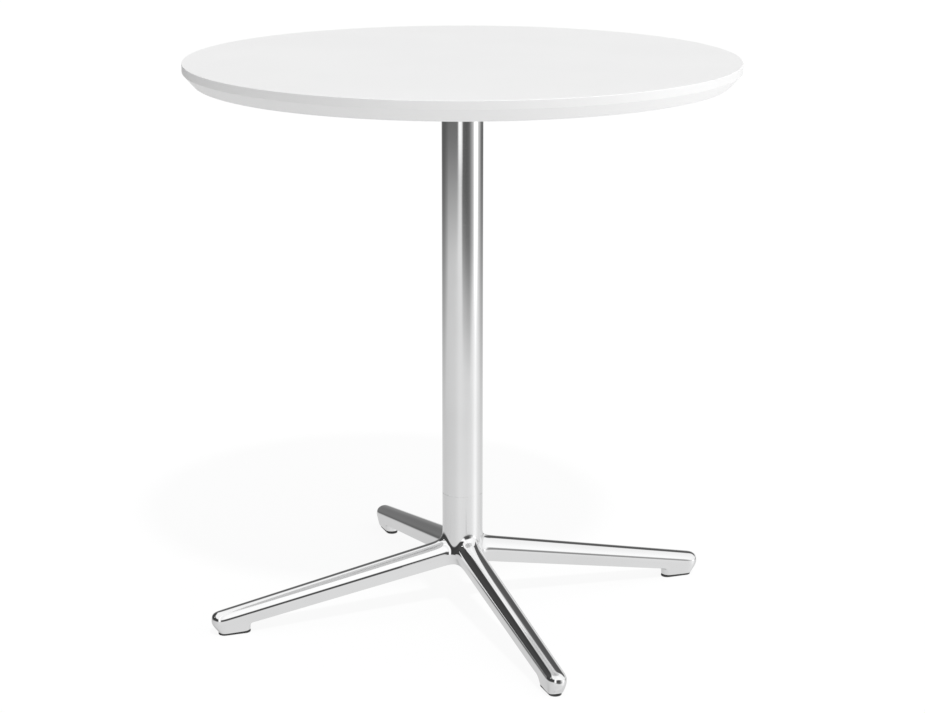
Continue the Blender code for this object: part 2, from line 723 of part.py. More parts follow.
def build_glides(plastic, steel):
    head_low = 0.0007
    head_depth = 0.0016
    clear = GLIDE_SCREW_RADIUS + GAP
    wide = GLIDE_SCREW_HEAD + GAP
    loops = [
        glide_outline(0.0006, 0.0),
        glide_outline(0.0, 0.0008),
        glide_outline(0.0, GLIDE_THICKNESS),
        glide_hole(clear, GLIDE_THICKNESS),
        glide_hole(clear, head_low + head_depth),
        glide_hole(wide, head_low),
        glide_hole(wide, 0.0),
    ]
    bm = bmesh.new()
    join_loops(bm, loops, False)
    four_copies("foot_glide", add_object("foot_glide", bm, plastic))

    key = hexagon(GLIDE_SCREW_KEY)
    screw = [
        (key, head_low + 0.0009),
        (key, head_low),
        (GLIDE_SCREW_HEAD, head_low),
        (GLIDE_SCREW_RADIUS, head_low + head_depth),
        (GLIDE_SCREW_RADIUS, head_low + GLIDE_SCREW_LENGTH - 0.0006),
        (GLIDE_SCREW_RADIUS - 0.0006, head_low + GLIDE_SCREW_LENGTH),
    ]
    four_round("glide_screw", screw, GLIDE_CENTRE, steel)


def build_table():
    clear_scene()
    white_board = make_material("white_lacquered_board", (0.86, 0.86, 0.86), 0.35, 0.0)
    white_laminate = make_material("white_laminate", (0.87, 0.87, 0.87), 0.40, 0.0)
    polished = make_material("polished_aluminium", (0.91, 0.91, 0.92), 0.06, 1.0)
    chrome = make_material("chromed_steel", (0.90, 0.90, 0.91), 0.08, 1.0)
    cast = make_material("raw_cast_aluminium", (0.62, 0.62, 0.63), 0.45, 1.0)
    steel = make_material("zinc_plated_steel", (0.66, 0.67, 0.68), 0.30, 1.0)
    brass = make_material("brass", (0.78, 0.62, 0.32), 0.35, 1.0)
    plastic = make_material("black_plastic", (0.03, 0.03, 0.03), 0.50, 0.0)

    build_core(white_board)
    build_laminates(white_laminate)
    build_spider(cast)
    build_top_fasteners(steel, brass)
    build_column(chrome)
    build_tie_rod(steel)
    build_base(polished)
    build_glides(plastic, steel)


build_table()
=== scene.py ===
"""Looks of the round bistro table: studio, materials and the fine meshes that stand for the CAD solids."""
import json
import math

import bmesh
import bpy
from mathutils import Matrix, Vector


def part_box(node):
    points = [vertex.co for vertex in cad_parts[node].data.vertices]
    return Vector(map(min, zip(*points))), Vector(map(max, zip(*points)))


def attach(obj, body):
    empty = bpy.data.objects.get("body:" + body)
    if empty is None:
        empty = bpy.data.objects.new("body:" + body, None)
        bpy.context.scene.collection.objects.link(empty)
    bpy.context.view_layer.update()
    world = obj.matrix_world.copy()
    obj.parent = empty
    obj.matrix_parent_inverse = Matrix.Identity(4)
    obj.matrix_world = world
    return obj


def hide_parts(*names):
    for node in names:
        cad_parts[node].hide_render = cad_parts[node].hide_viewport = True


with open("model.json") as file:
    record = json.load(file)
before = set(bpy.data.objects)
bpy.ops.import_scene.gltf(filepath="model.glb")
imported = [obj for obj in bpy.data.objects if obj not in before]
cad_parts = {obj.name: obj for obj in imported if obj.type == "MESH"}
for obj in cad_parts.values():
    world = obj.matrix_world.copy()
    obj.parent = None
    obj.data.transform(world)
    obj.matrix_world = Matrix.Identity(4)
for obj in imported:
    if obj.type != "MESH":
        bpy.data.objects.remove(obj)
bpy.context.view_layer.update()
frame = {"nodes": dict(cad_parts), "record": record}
nodes = frame["nodes"]

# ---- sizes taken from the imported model
CORE_LOW, CORE_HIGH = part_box("top_core")
LAMINATE_LOW, LAMINATE_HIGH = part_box("top_laminate")
BACKING_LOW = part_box("top_backing")[0]
TUBE_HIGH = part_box("column_tube")[1]
BASE_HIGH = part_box("base_casting")[1]
SPIDER_LOW, SPIDER_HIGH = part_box("top_spider")
GLIDE_LOW, GLIDE_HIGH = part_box("foot_glide_1")
ROD_LOW, ROD_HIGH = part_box("tie_rod")
TOP_RADIUS = CORE_HIGH.x
TABLE_HEIGHT = LAMINATE_HIGH.z
COLUMN_RADIUS = TUBE_HIGH.x
EDGE_BAND = 0.0104
BEVEL_INSET = 0.0135
TUBE_WALL = 0.002
SPIGOT_LENGTH = 0.020  # the part of the base inside the tube
SEAM_Z = BASE_HIGH.z - SPIGOT_LENGTH
NECK_Z = (0.088, 0.106)  # where the arms' polish passes into the neck's
ARM_COUNT = 4
CLEARANCE = 0.0003  # between a pin and its hole
ROD_RADIUS = ROD_HIGH.x
ROD_HOLE = ROD_RADIUS + CLEARANCE
TOUCH = 0.00003  # a hairline between pieces that meet
SUPPORT = 0.0003  # distance of a supporting loop from a rounded edge
RIM_STEPS = 5

# ---- camera, as distances from the column's foot
CAMERA_AZIMUTH = math.radians(-20.02)
CAMERA_DISTANCE = 2.870
CAMERA_HEIGHT = 1.108
CAMERA_PITCH = math.radians(14.986)
CAMERA_LENS = 89.17

# ---- studio light
WHITE_LEVEL = 1.24
RIGHT_LEVEL = 1.62
ZENITH_EXTRA = 0.95
WINDOW_LEVEL = 1.12
LAMP_BEARING = math.radians(-87)
LAMP_HEIGHT = math.radians(31)
LAMP_SIZE = math.radians(2.2)
LAMP_LEVEL = 6.0
REPEATED_LEVEL = 205  # 8-bit grey
REPEATED_RISE = 6.0  # degrees above the horizon over which it fades
METAL_SHINE = 0.92  # share of the light that the polished metal returns
SUN_STRENGTH = 2.8
SUN_BEARING = math.radians(17.2)
SUN_HEIGHT = math.radians(57.9)
SUN_SIZE = math.radians(4.5)
FLOOR_RADIUS = 14.0
FLOOR_COLOUR = 0.05
FLOOR_SEEN = 0.914
FLOOR_GLOW_LEFT = 0.83
FLOOR_GLOW_RIGHT = 1.35
FLOOR_GLOW_FRONT = 0.715
FLOOR_GLOW_BACK = 1.35


# ==== node helpers
class Graph:
    """Short forms for the nodes that the materials and the world use."""

    def __init__(self, tree):
        self.tree = tree
        self.tree.nodes.clear()

    def node(self, kind, **settings):
        made = self.tree.nodes.new(kind)
        for name, value in settings.items():
            setattr(made, name, value)
        return made

    def link(self, source, target):
        self.tree.links.new(source, target)

    def feed(self, socket, value):
        if isinstance(value, bpy.types.NodeSocket):
            self.link(value, socket)
        else:
            socket.default_value = value

    def math(self, operation, *values):
        made = self.node("ShaderNodeMath", operation=operation)
        for socket, value in zip(made.inputs, values):
            self.feed(socket, value)
        return made.outputs[0]

    def ramp(self, value, start, end, low=0.0, high=1.0, curve="SMOOTHSTEP"):
        """value carried from start..end to low..high, and held outside it."""
        made = self.node("ShaderNodeMapRange", interpolation_type=curve, clamp=True)
        for socket, number in zip(made.inputs, (value, start, end, low, high)):
            self.feed(socket, number)
        return made.outputs[0]

    def between(self, kind, share, first, second, socket, output):
        made = self.node("ShaderNodeMix", data_type=kind, clamp_factor=True)
        for place, value in ((0, share), (socket, first), (socket + 1, second)):
            self.feed(made.inputs[place], value)
        return made.outputs[output]

    def mix(self, share, first, second):
        """Number between first and second."""
        return self.between("FLOAT", share, first, second, 2, 0)

    def blend(self, share, first, second):
        """Colour between first and second."""
        return self.between("RGBA", share, first, second, 6, 2)

    def noise(self, where, scale, detail=3.0, roughness=0.5):
        made = self.node("ShaderNodeTexNoise")
        self.feed(made.inputs["Vector"], where)
        for name, value in (("Scale", scale), ("Detail", detail), ("Roughness", roughness)):
            made.inputs[name].default_value = value
        return made.outputs["Fac"]

    def mapped(self, where, setting, value):
        made = self.node("ShaderNodeMapping")
        self.link(where, made.inputs["Vector"])
        made.inputs[setting].default_value = value
        return made.outputs["Vector"]

    def from_camera(self, where):
        """Turned so that -Y points towards the camera."""
        return self.mapped(where, "Rotation", (0.0, 0.0, -CAMERA_AZIMUTH))

    def split(self, vector):
        made = self.node("ShaderNodeSeparateXYZ")
        self.link(vector, made.inputs["Vector"])
        return made.outputs

    def bump(self, height, distance, strength=1.0, normal=None):
        made = self.node("ShaderNodeBump")
        made.inputs["Distance"].default_value = distance
        made.inputs["Strength"].default_value = strength
        self.link(height, made.inputs["Height"])
        if normal is not None:
            self.link(normal, made.inputs["Normal"])
        return made.outputs["Normal"]


def grey(value):
    return (value, value, value, 1.0)


def new_material(name):
    made = bpy.data.materials.new(name)
    made.use_nodes = True
    graph = Graph(made.node_tree)
    shader = graph.node("ShaderNodeBsdfPrincipled")
    output = graph.node("ShaderNodeOutputMaterial")
    graph.link(shader.outputs["BSDF"], output.inputs["Surface"])
    where = graph.node("ShaderNodeTexCoord").outputs["Object"]
    return made, graph, shader, where


def set_surface(graph, shader, tint, roughness, normal, metallic=0.0):
    for name, source in (("Base Color", tint), ("Roughness", roughness), ("Normal", normal)):
        graph.link(source, shader.inputs[name])
    shader.inputs["Metallic"].default_value = metallic


# ==== materials
def polished_metal(name, colour, roughness, waves, neck_haze=0.0):
    """Mirror polish: faint haze patches, hairline polishing marks and a slight unevenness of the surface.
    The turned neck of the base is a little less bright."""
    made, graph, shader, where = new_material(name)
    haze = graph.noise(where, 9.0)
    marks = graph.noise(graph.mapped(where, "Scale", (60.0, 60.0, 900.0)), 1.0, 2.0)
    shine = graph.ramp(haze, 0.3, 0.7, roughness * 0.75, roughness * 1.3)
    shine = graph.math("ADD", shine, graph.ramp(marks, 0.62, 0.8, 0.0, roughness * 0.5))
    if neck_haze:
        neck = graph.ramp(graph.split(where)["Z"], *NECK_Z, 0.0, neck_haze)
        shine = graph.math("ADD", shine, neck)
    warm = tuple(channel * 0.965 for channel in colour) + (1.0,)
    tint = graph.blend(graph.ramp(haze, 0.35, 0.75), (*colour, 1.0), warm)
    uneven = graph.bump(graph.noise(where, 16.0, 1.0), waves)
    set_surface(graph, shader, tint, shine, graph.bump(marks, waves * 0.02, 0.4, uneven), 1.0)
    return made


def cast_metal(name, colour, roughness, grain_scale, grain_height):
    """Blasted or as-cast metal: grainy, with darker pits and patches."""
    made, graph, shader, where = new_material(name)
    grain = graph.noise(where, grain_scale, 4.0, 0.6)
    patches = graph.noise(where, 24.0, 3.0)
    dark = tuple(channel * 0.72 for channel in colour) + (1.0,)
    tint = graph.blend(graph.ramp(grain, 0.30, 0.62), dark, (*colour, 1.0))
    rough = graph.ramp(patches, 0.3, 0.7, roughness * 0.85, roughness * 1.15)
    set_surface(graph, shader, tint, rough, graph.bump(grain, grain_height), 1.0)
    return made


def plated_metal(name, colour, roughness):
    """Small turned or pressed hardware: fine turning marks round its axis and a slight colour drift."""
    made, graph, shader, where = new_material(name)
    drift = graph.noise(where, 130.0, 2.0)
    marks = graph.noise(where, 1400.0, 2.0)
    cool = (colour[0] * 0.90, colour[1] * 0.94, min(1.0, colour[2] * 1.03), 1.0)
    tint = graph.blend(graph.ramp(drift, 0.3, 0.7), (*colour, 1.0), cool)
    rough = graph.ramp(marks, 0.3, 0.7, roughness * 0.8, roughness * 1.3)
    set_surface(graph, shader, tint, rough, graph.bump(marks, 0.00002), 1.0)
    return made


def white_surface(name, level, roughness, grain_scale, grain_height):
    """White laminate or lacquer: a very fine texture, with faint drift in tone and gloss."""
    made, graph, shader, where = new_material(name)
    drift = graph.noise(where, 5.0, 2.0)
    grain = graph.noise(where, grain_scale, 2.0)
    tint = graph.blend(graph.ramp(drift, 0.3, 0.7), grey(level), grey(level * 0.985))
    rough = graph.ramp(grain, 0.3, 0.7, roughness * 0.92, roughness * 1.08)
    shader.inputs["Specular IOR Level"].default_value = 0.3
    set_surface(graph, shader, tint, rough, graph.bump(grain, grain_height))
    return made


def moulded_plastic(name, level, roughness):
    """Dark moulded nylon with a spark-eroded texture and worn, greyer high spots."""
    made, graph, shader, where = new_material(name)
    grain = graph.noise(where, 1600.0, 3.0)
    wear = graph.noise(where, 90.0, 3.0)
    worn = graph.blend(graph.ramp(wear, 0.55, 0.8), grey(level), grey(level * 2.2))
    rough = graph.ramp(grain, 0.3, 0.7, roughness * 0.9, roughness * 1.15)
    set_surface(graph, shader, worn, rough, graph.bump(grain, 0.00004))
    return made


MATERIALS = {
    "polished_casting": polished_metal("polished_aluminium", (0.925, 0.927, 0.93), 0.045, 0.00006, 0.06),
    "bright_tube": polished_metal("bright_chrome", (0.925, 0.927, 0.93), 0.070, 0.00001),
    "raw_casting": cast_metal("as_cast_aluminium", (0.62, 0.62, 0.63), 0.50, 700.0, 0.00012),
    "cast_metal": cast_metal("blasted_aluminium", (0.60, 0.60, 0.61), 0.42, 1100.0, 0.00008),
    "zinc_steel": plated_metal("zinc_plated_steel", (0.66, 0.67, 0.68), 0.28),
    "brass_insert": plated_metal("machined_brass", (0.78, 0.62, 0.32), 0.30),
    # the edge lacquer is a little darker than the laminate face: painted shade for the edge and the bevel,
    # which face sideways and down and take less light than the top
    "white_edge": white_surface("white_lacquer_painted_shade", 0.82, 0.45, 600.0, 0.000015),
    "white_face": white_surface("white_laminate", 0.86, 0.52, 1300.0, 0.00002),
    # grey underside: painted shade for the shade under the table top, which the polished arms reflect
    "grey_backing": white_surface("backing_sheet_painted_shade", 0.54, 0.55, 900.0, 0.00002),
    "black_glide": moulded_plastic("black_nylon", 0.030, 0.50),
}


# ==== mesh helpers
def mesh_of(name, bm):
    mesh = bpy.data.meshes.new(name)
    bm.to_mesh(mesh)
    bm.free()
    return mesh


def in_scene(name, data):
    made = bpy.data.objects.new(name, data)
    bpy.context.scene.collection.objects.link(made)
    return made


def finish_piece(name, bm, slot_name, replaced=(), smooth_above=math.radians(32)):
    """Turn a bmesh into a riding piece with its finish."""
    bmesh.ops.recalc_face_normals(bm, faces=bm.faces)
    mesh = mesh_of(name, bm)
    mesh.shade_smooth()
    if smooth_above:
        mesh.set_sharp_from_angle(angle=smooth_above)
    mesh.materials.append(MATERIALS[slot_name])
    piece = in_scene(name, mesh)
    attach(piece, "root")
    if replaced:
        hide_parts(*replaced)
    return piece


def ring(radius, z, segments):
    """Points round Z; the radius and the height may each be a function of the angle."""
    points = []
    for i in range(segments):
        angle = math.tau * i / segments
        reach = radius(angle) if callable(radius) else radius
        height = z(angle) if callable(z) else z
        points.append(Vector((reach * math.cos(angle), reach * math.sin(angle), height)))
    return points


def join_loops(bm, loops, capped, place=Matrix.Identity(4)):
    """Skin a run of equal loops. Capped closes both ends, otherwise the last loop meets the first."""
    rows = [[bm.verts.new(place @ point) for point in loop] for loop in loops]
    count = len(rows[0])
    pairs = list(zip(rows, rows[1:]))
    if not capped:
        pairs.append((rows[-1], rows[0]))
    for low, high in pairs:
        for i in range(count):
            j = (i + 1) % count
            bm.faces.new((low[i], low[j], high[j], high[i]))
    if capped:
        bm.faces.new(rows[0])
        bm.faces.new(rows[-1])


def eased(points, radii, closed, steps=5):
    """The same outline with an arc of the given radius at each corner."""
    result = []
    count = len(points)
    for i, point in enumerate(points):
        here = Vector(point)
        is_end = not closed and i in (0, count - 1)
        if radii[i] == 0 or is_end:
            result.append(tuple(here))
            continue
        to_before = (Vector(points[i - 1]) - here).normalized()
        to_after = (Vector(points[(i + 1) % count]) - here).normalized()
        half_angle = to_before.angle(to_after) / 2
        setback = radii[i] / math.tan(half_angle)
        centre = here + (to_before + to_after).normalized() * radii[i] / math.sin(half_angle)
        first = here + to_before * setback - centre
        last = here + to_after * setback - centre
        for step in range(steps + 1):
            share = step / steps
            result.append(tuple(centre + first.slerp(last, share).normalized() * radii[i]))
    return result


def supported(outline, closed):
    """Adds a point close to each end of every long straight stretch, so smooth shading stays true there."""
    result = []
    for i, point in enumerate(outline):
        result.append(point)
        if i == len(outline) - 1 and not closed:
            break
        here = Vector(point)
        there = Vector(outline[(i + 1) % len(outline)])
        if (there - here).length > 6 * SUPPORT:
            step = (there - here).normalized() * SUPPORT
            result += [tuple(here + step), tuple(there - step)]
    return result


def turned_shape(profile, capped=False, segments=96, place=Matrix.Identity(4)):
    bm = bmesh.new()
    join_loops(bm, [ring(radius, z, segments) for radius, z in profile], capped, place)
    return bm


def turned(name, profile, slot_name, replaced, capped=False, segments=96):
    bm = turned_shape(supported(profile, not capped), capped, segments)
    return finish_piece(name, bm, slot_name, replaced)


def hexagon(across_flats):
    """Radius of a hexagon in a given direction, with a corner on +X."""
    def reach(angle):
        from_flat = (angle % math.radians(60)) - math.radians(30)
        return across_flats / 2 / math.cos(from_flat)
    return reach


def thread(radius, low, high, pitch):
    """Profile points of a threaded length, as rings."""
    depth = pitch * 0.55
    turns = int((high - low) / pitch)
    points = [(radius, low)]
    for i in range(turns):
        z = low + i * pitch
        points += [(radius - depth, z + pitch * 0.45), (radius - depth, z + pitch * 0.55),
                   (radius, z + pitch * 0.92)]
    return points


def carved(bm, changes):
    """The shape after a run of (boolean operation, other shape) changes."""
    block = in_scene("carving", mesh_of("carving", bm))
    used = [block]
    for operation, shape in changes:
        bmesh.ops.recalc_face_normals(shape, faces=shape.faces)
        tool = in_scene("carving_tool", mesh_of("carving_tool", shape))
        used.append(tool)
        boolean = block.modifiers.new("carve", "BOOLEAN")
        boolean.operation = operation
        boolean.solver = "EXACT"
        boolean.object = tool
    bpy.context.view_layer.update()
    solid = block.evaluated_get(bpy.context.evaluated_depsgraph_get()).to_mesh()
    result = bmesh.new()
    result.from_mesh(solid)
    for made in used:
        bpy.data.objects.remove(made)
    return result


def heights_of(node):
    """Lowest and highest Z of a CAD node."""
    low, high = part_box(node)
    return low.z, high.z


def rounded_rim(outline, soft, z):
    """Loops that round an outline's lower edge, from the flat face at z up to the side."""
    loops = [outline(soft + SUPPORT, z)]
    for i in range(RIM_STEPS + 1):
        angle = math.radians(90 * i / RIM_STEPS)
        loops.append(outline(soft * (1 - math.sin(angle)), z + soft * (1 - math.cos(angle))))
    return loops


def quarter_turns():
    return [Matrix.Rotation(math.tau * i / ARM_COUNT, 4, "Z") for i in range(ARM_COUNT)]


# ==== table top
def add_finish(piece, slot_name, wanted):
    """A second material for the faces that wanted() picks; used for the underside's painted shade."""
    piece.data.materials.append(MATERIALS[slot_name])
    for face in piece.data.polygons:
        if wanted(face):
            face.material_index = 1


def build_top():
    segments = 256
    cap_radius = 0.300
    band_z = TABLE_HEIGHT - EDGE_BAND
    slope = BEVEL_INSET / (band_z - BACKING_LOW.z)
    foot_radius = TOP_RADIUS - slope * (band_z - CORE_LOW.z)
    board = eased([(foot_radius, CORE_LOW.z), (TOP_RADIUS, band_z), (TOP_RADIUS, LAMINATE_LOW.z - TOUCH)],
                  [0, 0.0012, 0], closed=False, steps=8)
    # the edge's lacquer carries painted shade, a little darker than the face
    turned("table_board", board, "white_edge", ["top_core"], capped=True, segments=segments)

    face_radius = TOP_RADIUS - 0.00005
    face = eased([(face_radius, LAMINATE_LOW.z), (face_radius, TABLE_HEIGHT), (cap_radius, TABLE_HEIGHT)],
                 [0, 0.0007, 0], closed=False, steps=6)
    turned("table_face", face, "white_face", ["top_laminate"], capped=True, segments=segments)

    low_radius = TOP_RADIUS - BEVEL_INSET
    high_radius = low_radius + slope * (CORE_LOW.z - TOUCH - BACKING_LOW.z)
    sheet = eased([(cap_radius, BACKING_LOW.z), (low_radius, BACKING_LOW.z),
                   (high_radius, CORE_LOW.z - TOUCH)],
                  [0, 0.0003, 0], closed=False, steps=4)
    backing = turned("table_backing", sheet, "white_edge", ["top_backing"], capped=True, segments=segments)
    # the underside's grey is painted shade, for the shade under the top
    add_finish(backing, "grey_backing", lambda face: face.normal.z < -0.99)


# ==== column
def build_column():
    inner = COLUMN_RADIUS - TUBE_WALL
    low = SEAM_Z + TOUCH
    edge = 0.00015
    top = TUBE_HIGH.z
    outline = eased([(inner, low), (COLUMN_RADIUS, low), (COLUMN_RADIUS, top), (inner, top)],
                    [edge, edge, 0.0004, 0.0004], closed=True, steps=3)
    turned("chromed_column", outline, "bright_tube", ["column_tube"], segments=192)


# ==== base casting: quad cage for a subdivision surface, drawn for one eighth and mirrored round
ARM_IN = 0.060  # the two places where the arm's sizes below are given
ARM_OUT = 0.310
ARM_ROOT = ARM_IN - 0.026  # the arm's first section
SHOULDER_HALF = (0.0160, 0.0130)
CROWN_Z = (0.0852, 0.0356)
SHOULDER_Z = (0.0697, 0.0249)
BOTTOM_Z = (0.0528, 0.0111)
BOTTOM_HALF = (0.0100, 0.0112)
NOSE_TIP = 0.3424
ROOT_FILLET = 0.015
RIM_WIDTH = 0.0038
CHANNEL_DEPTH = 0.009
CHANNEL_END = 0.278
HUB_BOTTOM_Z = 0.0610
POCKET_RADIUS = 0.013
POCKET_ROOF_Z = 0.080
ROD_BORE = 0.0056
WEB_TOP_Z = 0.098
NECK_BORE = 0.0195
HUB_STEP = math.radians(15)
GLIDE_IN = GLIDE_LOW.x
GLIDE_OUT = GLIDE_HIGH.x
BOSS_LEAN = 0.23  # how far the boss's side leans in, per unit of height
TIP_DIP = 0.0008  # how far the widest line dips towards the tip
BOSS_BOTTOM_Z = GLIDE_HIGH.z + TOUCH
BASE_LEVELS = 3


def along(radius, ends):
    """Straight line through a value at ARM_IN and one at ARM_OUT."""
    share = (radius - ARM_IN) / (ARM_OUT - ARM_IN)
    return ends[0] + (ends[1] - ends[0]) * share


def pull(step):
    """How much larger a round control polygon is than the smooth circle it makes."""
    return 3 / (2 + math.cos(step))


DOME_STEP = math.radians(30)
DOME = [i * DOME_STEP for i in range(4)]
CROWN, UPPER, HAUNCH, SHOULDER, SIDE, LOW_SIDE, EDGE, RIM, ROOF, ROOF_MID = range(10)
MID = "mid"  # the underside's centre line where there is no channel
OUTSIDE, INSIDE = 0, 1  # material index: polished, or left as cast


def dome_row(radius, row):
    """(half width, height) of a control point on the arm's round top."""
    grow = pull(DOME_STEP)
    half = along(radius, SHOULDER_HALF) * grow * math.sin(DOME[row])
    shoulder_z = along(radius, SHOULDER_Z)
    rise = (along(radius, CROWN_Z) - shoulder_z) * grow * math.cos(DOME[row])
    return half, shoulder_z + rise


def side_half(radius, z):
    """Half width of the drafted side below the shoulder."""
    top = along(radius, SHOULDER_Z)
    bottom = along(radius, BOTTOM_Z)
    share = (top - z) / (top - bottom)
    return along(radius, SHOULDER_HALF) * (1 - share) + along(radius, BOTTOM_HALF) * share


def arm_section(radius, with_channel):
    """Cage points of one cross-section of an arm, keyed by row."""
    points = {}
    for row in (CROWN, UPPER, HAUNCH, SHOULDER):
        half, z = dome_row(radius, row)
        points[row] = (radius, half, z)
    bottom = along(radius, BOTTOM_Z)
    side_z = (along(radius, SHOULDER_Z) + bottom) / 2
    low_z = bottom + 0.0022
    points[SIDE] = (radius, side_half(radius, side_z), side_z)
    points[LOW_SIDE] = (radius, side_half(radius, low_z), low_z)
    points[EDGE] = (radius, side_half(radius, bottom), bottom)
    rim_half = side_half(radius, bottom) - RIM_WIDTH
    points[RIM] = (radius, rim_half, bottom)
    if with_channel:
        roof_z = bottom + CHANNEL_DEPTH
        points[ROOF] = (radius, rim_half - 0.001, roof_z)
        points[ROOF_MID] = (radius, 0.0, roof_z)
    else:
        points[MID] = (radius, 0.0, bottom)
    return points


def foot_half(x, z):
    """Half width of the boss's side, which leans in a little more than the arm's."""
    return side_half(x, along(x, BOTTOM_Z)) - BOSS_LEAN * (along(x, BOTTOM_Z) - z)


def tip_sections():
    """Sections from the channel's end to the centre of the nose; the boss grows down in the second."""
    step_z = along(GLIDE_IN, BOTTOM_Z) - 0.0002
    floor_z = BOSS_BOTTOM_Z
    low_z = floor_z + 0.0022
    nose_centre = NOSE_TIP - along(NOSE_TIP, SHOULDER_HALF)

    before = arm_section(GLIDE_IN - 0.006, False)

    upper = arm_section(GLIDE_IN, False)
    upper.update({
        SIDE: (GLIDE_IN + 0.001, side_half(GLIDE_IN, step_z + 0.008), step_z + 0.008),
        LOW_SIDE: (GLIDE_IN + 0.006, side_half(GLIDE_IN, step_z + 0.003), step_z + 0.003),
        EDGE: (GLIDE_IN + 0.004, side_half(GLIDE_IN, step_z), step_z),
        RIM: (GLIDE_IN + 0.0008, 0.0058, step_z),
        MID: (GLIDE_IN - 0.0002, 0.0, step_z)})

    wall = arm_section(GLIDE_IN + 0.006, False)
    wall_z = floor_z + 0.0024
    wall.update({
        SIDE: (GLIDE_IN + 0.0075, side_half(GLIDE_IN, step_z + 0.006), step_z + 0.006),
        LOW_SIDE: (GLIDE_IN + 0.0080, foot_half(GLIDE_IN, wall_z + 0.0024), wall_z + 0.0024),
        EDGE: (GLIDE_IN + 0.0062, foot_half(GLIDE_IN, wall_z), wall_z),
        RIM: (GLIDE_IN + 0.0012, 0.0057, wall_z),
        MID: (GLIDE_IN - 0.0003, 0.0, wall_z)})

    lower = arm_section(GLIDE_IN + 0.010, False)
    lower.update({
        LOW_SIDE: (GLIDE_IN + 0.0085, foot_half(GLIDE_IN, low_z), low_z),
        EDGE: (GLIDE_IN + 0.0062, foot_half(GLIDE_IN, floor_z), floor_z),
        RIM: (GLIDE_IN + 0.0013, 0.0054, floor_z),
        MID: (GLIDE_IN - 0.0002, 0.0, floor_z)})

    sections = [before, upper, wall, lower]
    for x in (GLIDE_IN + 0.013, GLIDE_IN + 0.027, nose_centre):
        made = arm_section(x, False)
        made[LOW_SIDE] = (x, foot_half(x, low_z), low_z)
        made[EDGE] = (x, foot_half(x, floor_z), floor_z)
        made[RIM] = (x, 0.0048, floor_z)
        made[MID] = (x, 0.0, floor_z)
        sections.append(made)
    sections[4][RIM] = (GLIDE_IN + 0.010, 0.0050, floor_z)
    sections[4][MID] = (GLIDE_IN + 0.006, 0.0, floor_z)
    last = sections[-1]
    last[LOW_SIDE] = (nose_centre - 0.003, last[LOW_SIDE][1], low_z)
    last[EDGE] = (nose_centre - 0.004, last[EDGE][1], floor_z)
    last[RIM] = (nose_centre - 0.004, 0.0046, floor_z)
    last[MID] = (nose_centre - 0.004, 0.0, floor_z)
    return sections


def nose_sections(centre_section):
    """Two sections round the nose and the column on its centre line."""
    nose_centre = centre_section[CROWN][0]
    half = along(nose_centre, SHOULDER_HALF)
    shoulder_z = along(nose_centre, SHOULDER_Z)
    rise = along(nose_centre, CROWN_Z) - shoulder_z
    grow = pull(DOME_STEP)
    foot_tip = {SHOULDER: NOSE_TIP, SIDE: NOSE_TIP + 0.0004, LOW_SIDE: NOSE_TIP - 0.0078,
                EDGE: GLIDE_OUT + 0.0004}
    made = []
    for reach, turn in ((0.50, math.radians(30)), (0.82, math.radians(60))):
        section = {}
        shrink = math.sqrt(1 - reach * reach) * grow
        for row in (CROWN, UPPER, HAUNCH):
            section[row] = (nose_centre + half * reach * grow,
                            half * shrink * math.sin(DOME[row]),
                            shoulder_z + rise * shrink * math.cos(DOME[row]))
        section[HAUNCH] = tuple(Vector(section[HAUNCH]) - Vector((0, 0, TIP_DIP * reach ** 3 * 0.7)))
        for row in (SHOULDER, SIDE, LOW_SIDE, EDGE):
            start = centre_section[row]
            tip = foot_tip[row]
            length = (tip - start[0]) * grow
            low = TIP_DIP * reach ** 3 if row == SHOULDER else 0.0
            section[row] = (start[0] + length * math.sin(turn),
                            start[1] * math.cos(turn) * (1 if row == SHOULDER else grow), start[2] - low)
        made.append(section)
    haunch_z = shoulder_z + rise * 0.285 * grow - TIP_DIP * 0.7
    centre = {HAUNCH: (nose_centre + half * 0.945 * grow, 0.0, haunch_z)}
    for row in (SHOULDER, SIDE, LOW_SIDE, EDGE):
        start = centre_section[row]
        low = TIP_DIP if row == SHOULDER else 0.0
        centre[row] = (start[0] + (foot_tip[row] - start[0]) * grow, 0.0, start[2] - low)
    return made + [centre]


def hub_points():
    """Points between two arms: half way round the root fillet and on the diagonal."""
    middle = along(ARM_ROOT, SHOULDER_HALF) + ROOT_FILLET
    heights = {
        SHOULDER: (along(ARM_ROOT, SHOULDER_Z) + 0.0005, along(ARM_ROOT, SHOULDER_Z) + 0.0010),
        SIDE: (0.0672, 0.0682),
        LOW_SIDE: (0.0616, 0.0638),
        EDGE: (0.0594, 0.0615),
        RIM: (0.0598, 0.0613),
    }
    halves = {row: arm_section(ARM_ROOT, False)[row][1] for row in heights}
    spread, diagonal = {}, {}
    for row, (spread_z, diagonal_z) in heights.items():
        bend = (middle - halves[row]) * pull(math.radians(22.5))
        for target, turn, z in ((spread, 22.5, spread_z), (diagonal, 45.0, diagonal_z)):
            angle = math.radians(turn)
            target[row] = (middle - bend * math.sin(angle), middle - bend * math.cos(angle), z)
    return spread, diagonal


def turned_ring(radius, z):
    """Four points of a centre ring within one eighth; either size may differ from point to point."""
    heights = z if isinstance(z, tuple) else (z,) * 4
    reach = radius if isinstance(radius, tuple) else (radius,) * 4
    grow = pull(HUB_STEP)
    return [(reach[i] * grow * math.cos(i * HUB_STEP), reach[i] * grow * math.sin(i * HUB_STEP), heights[i])
            for i in range(4)]


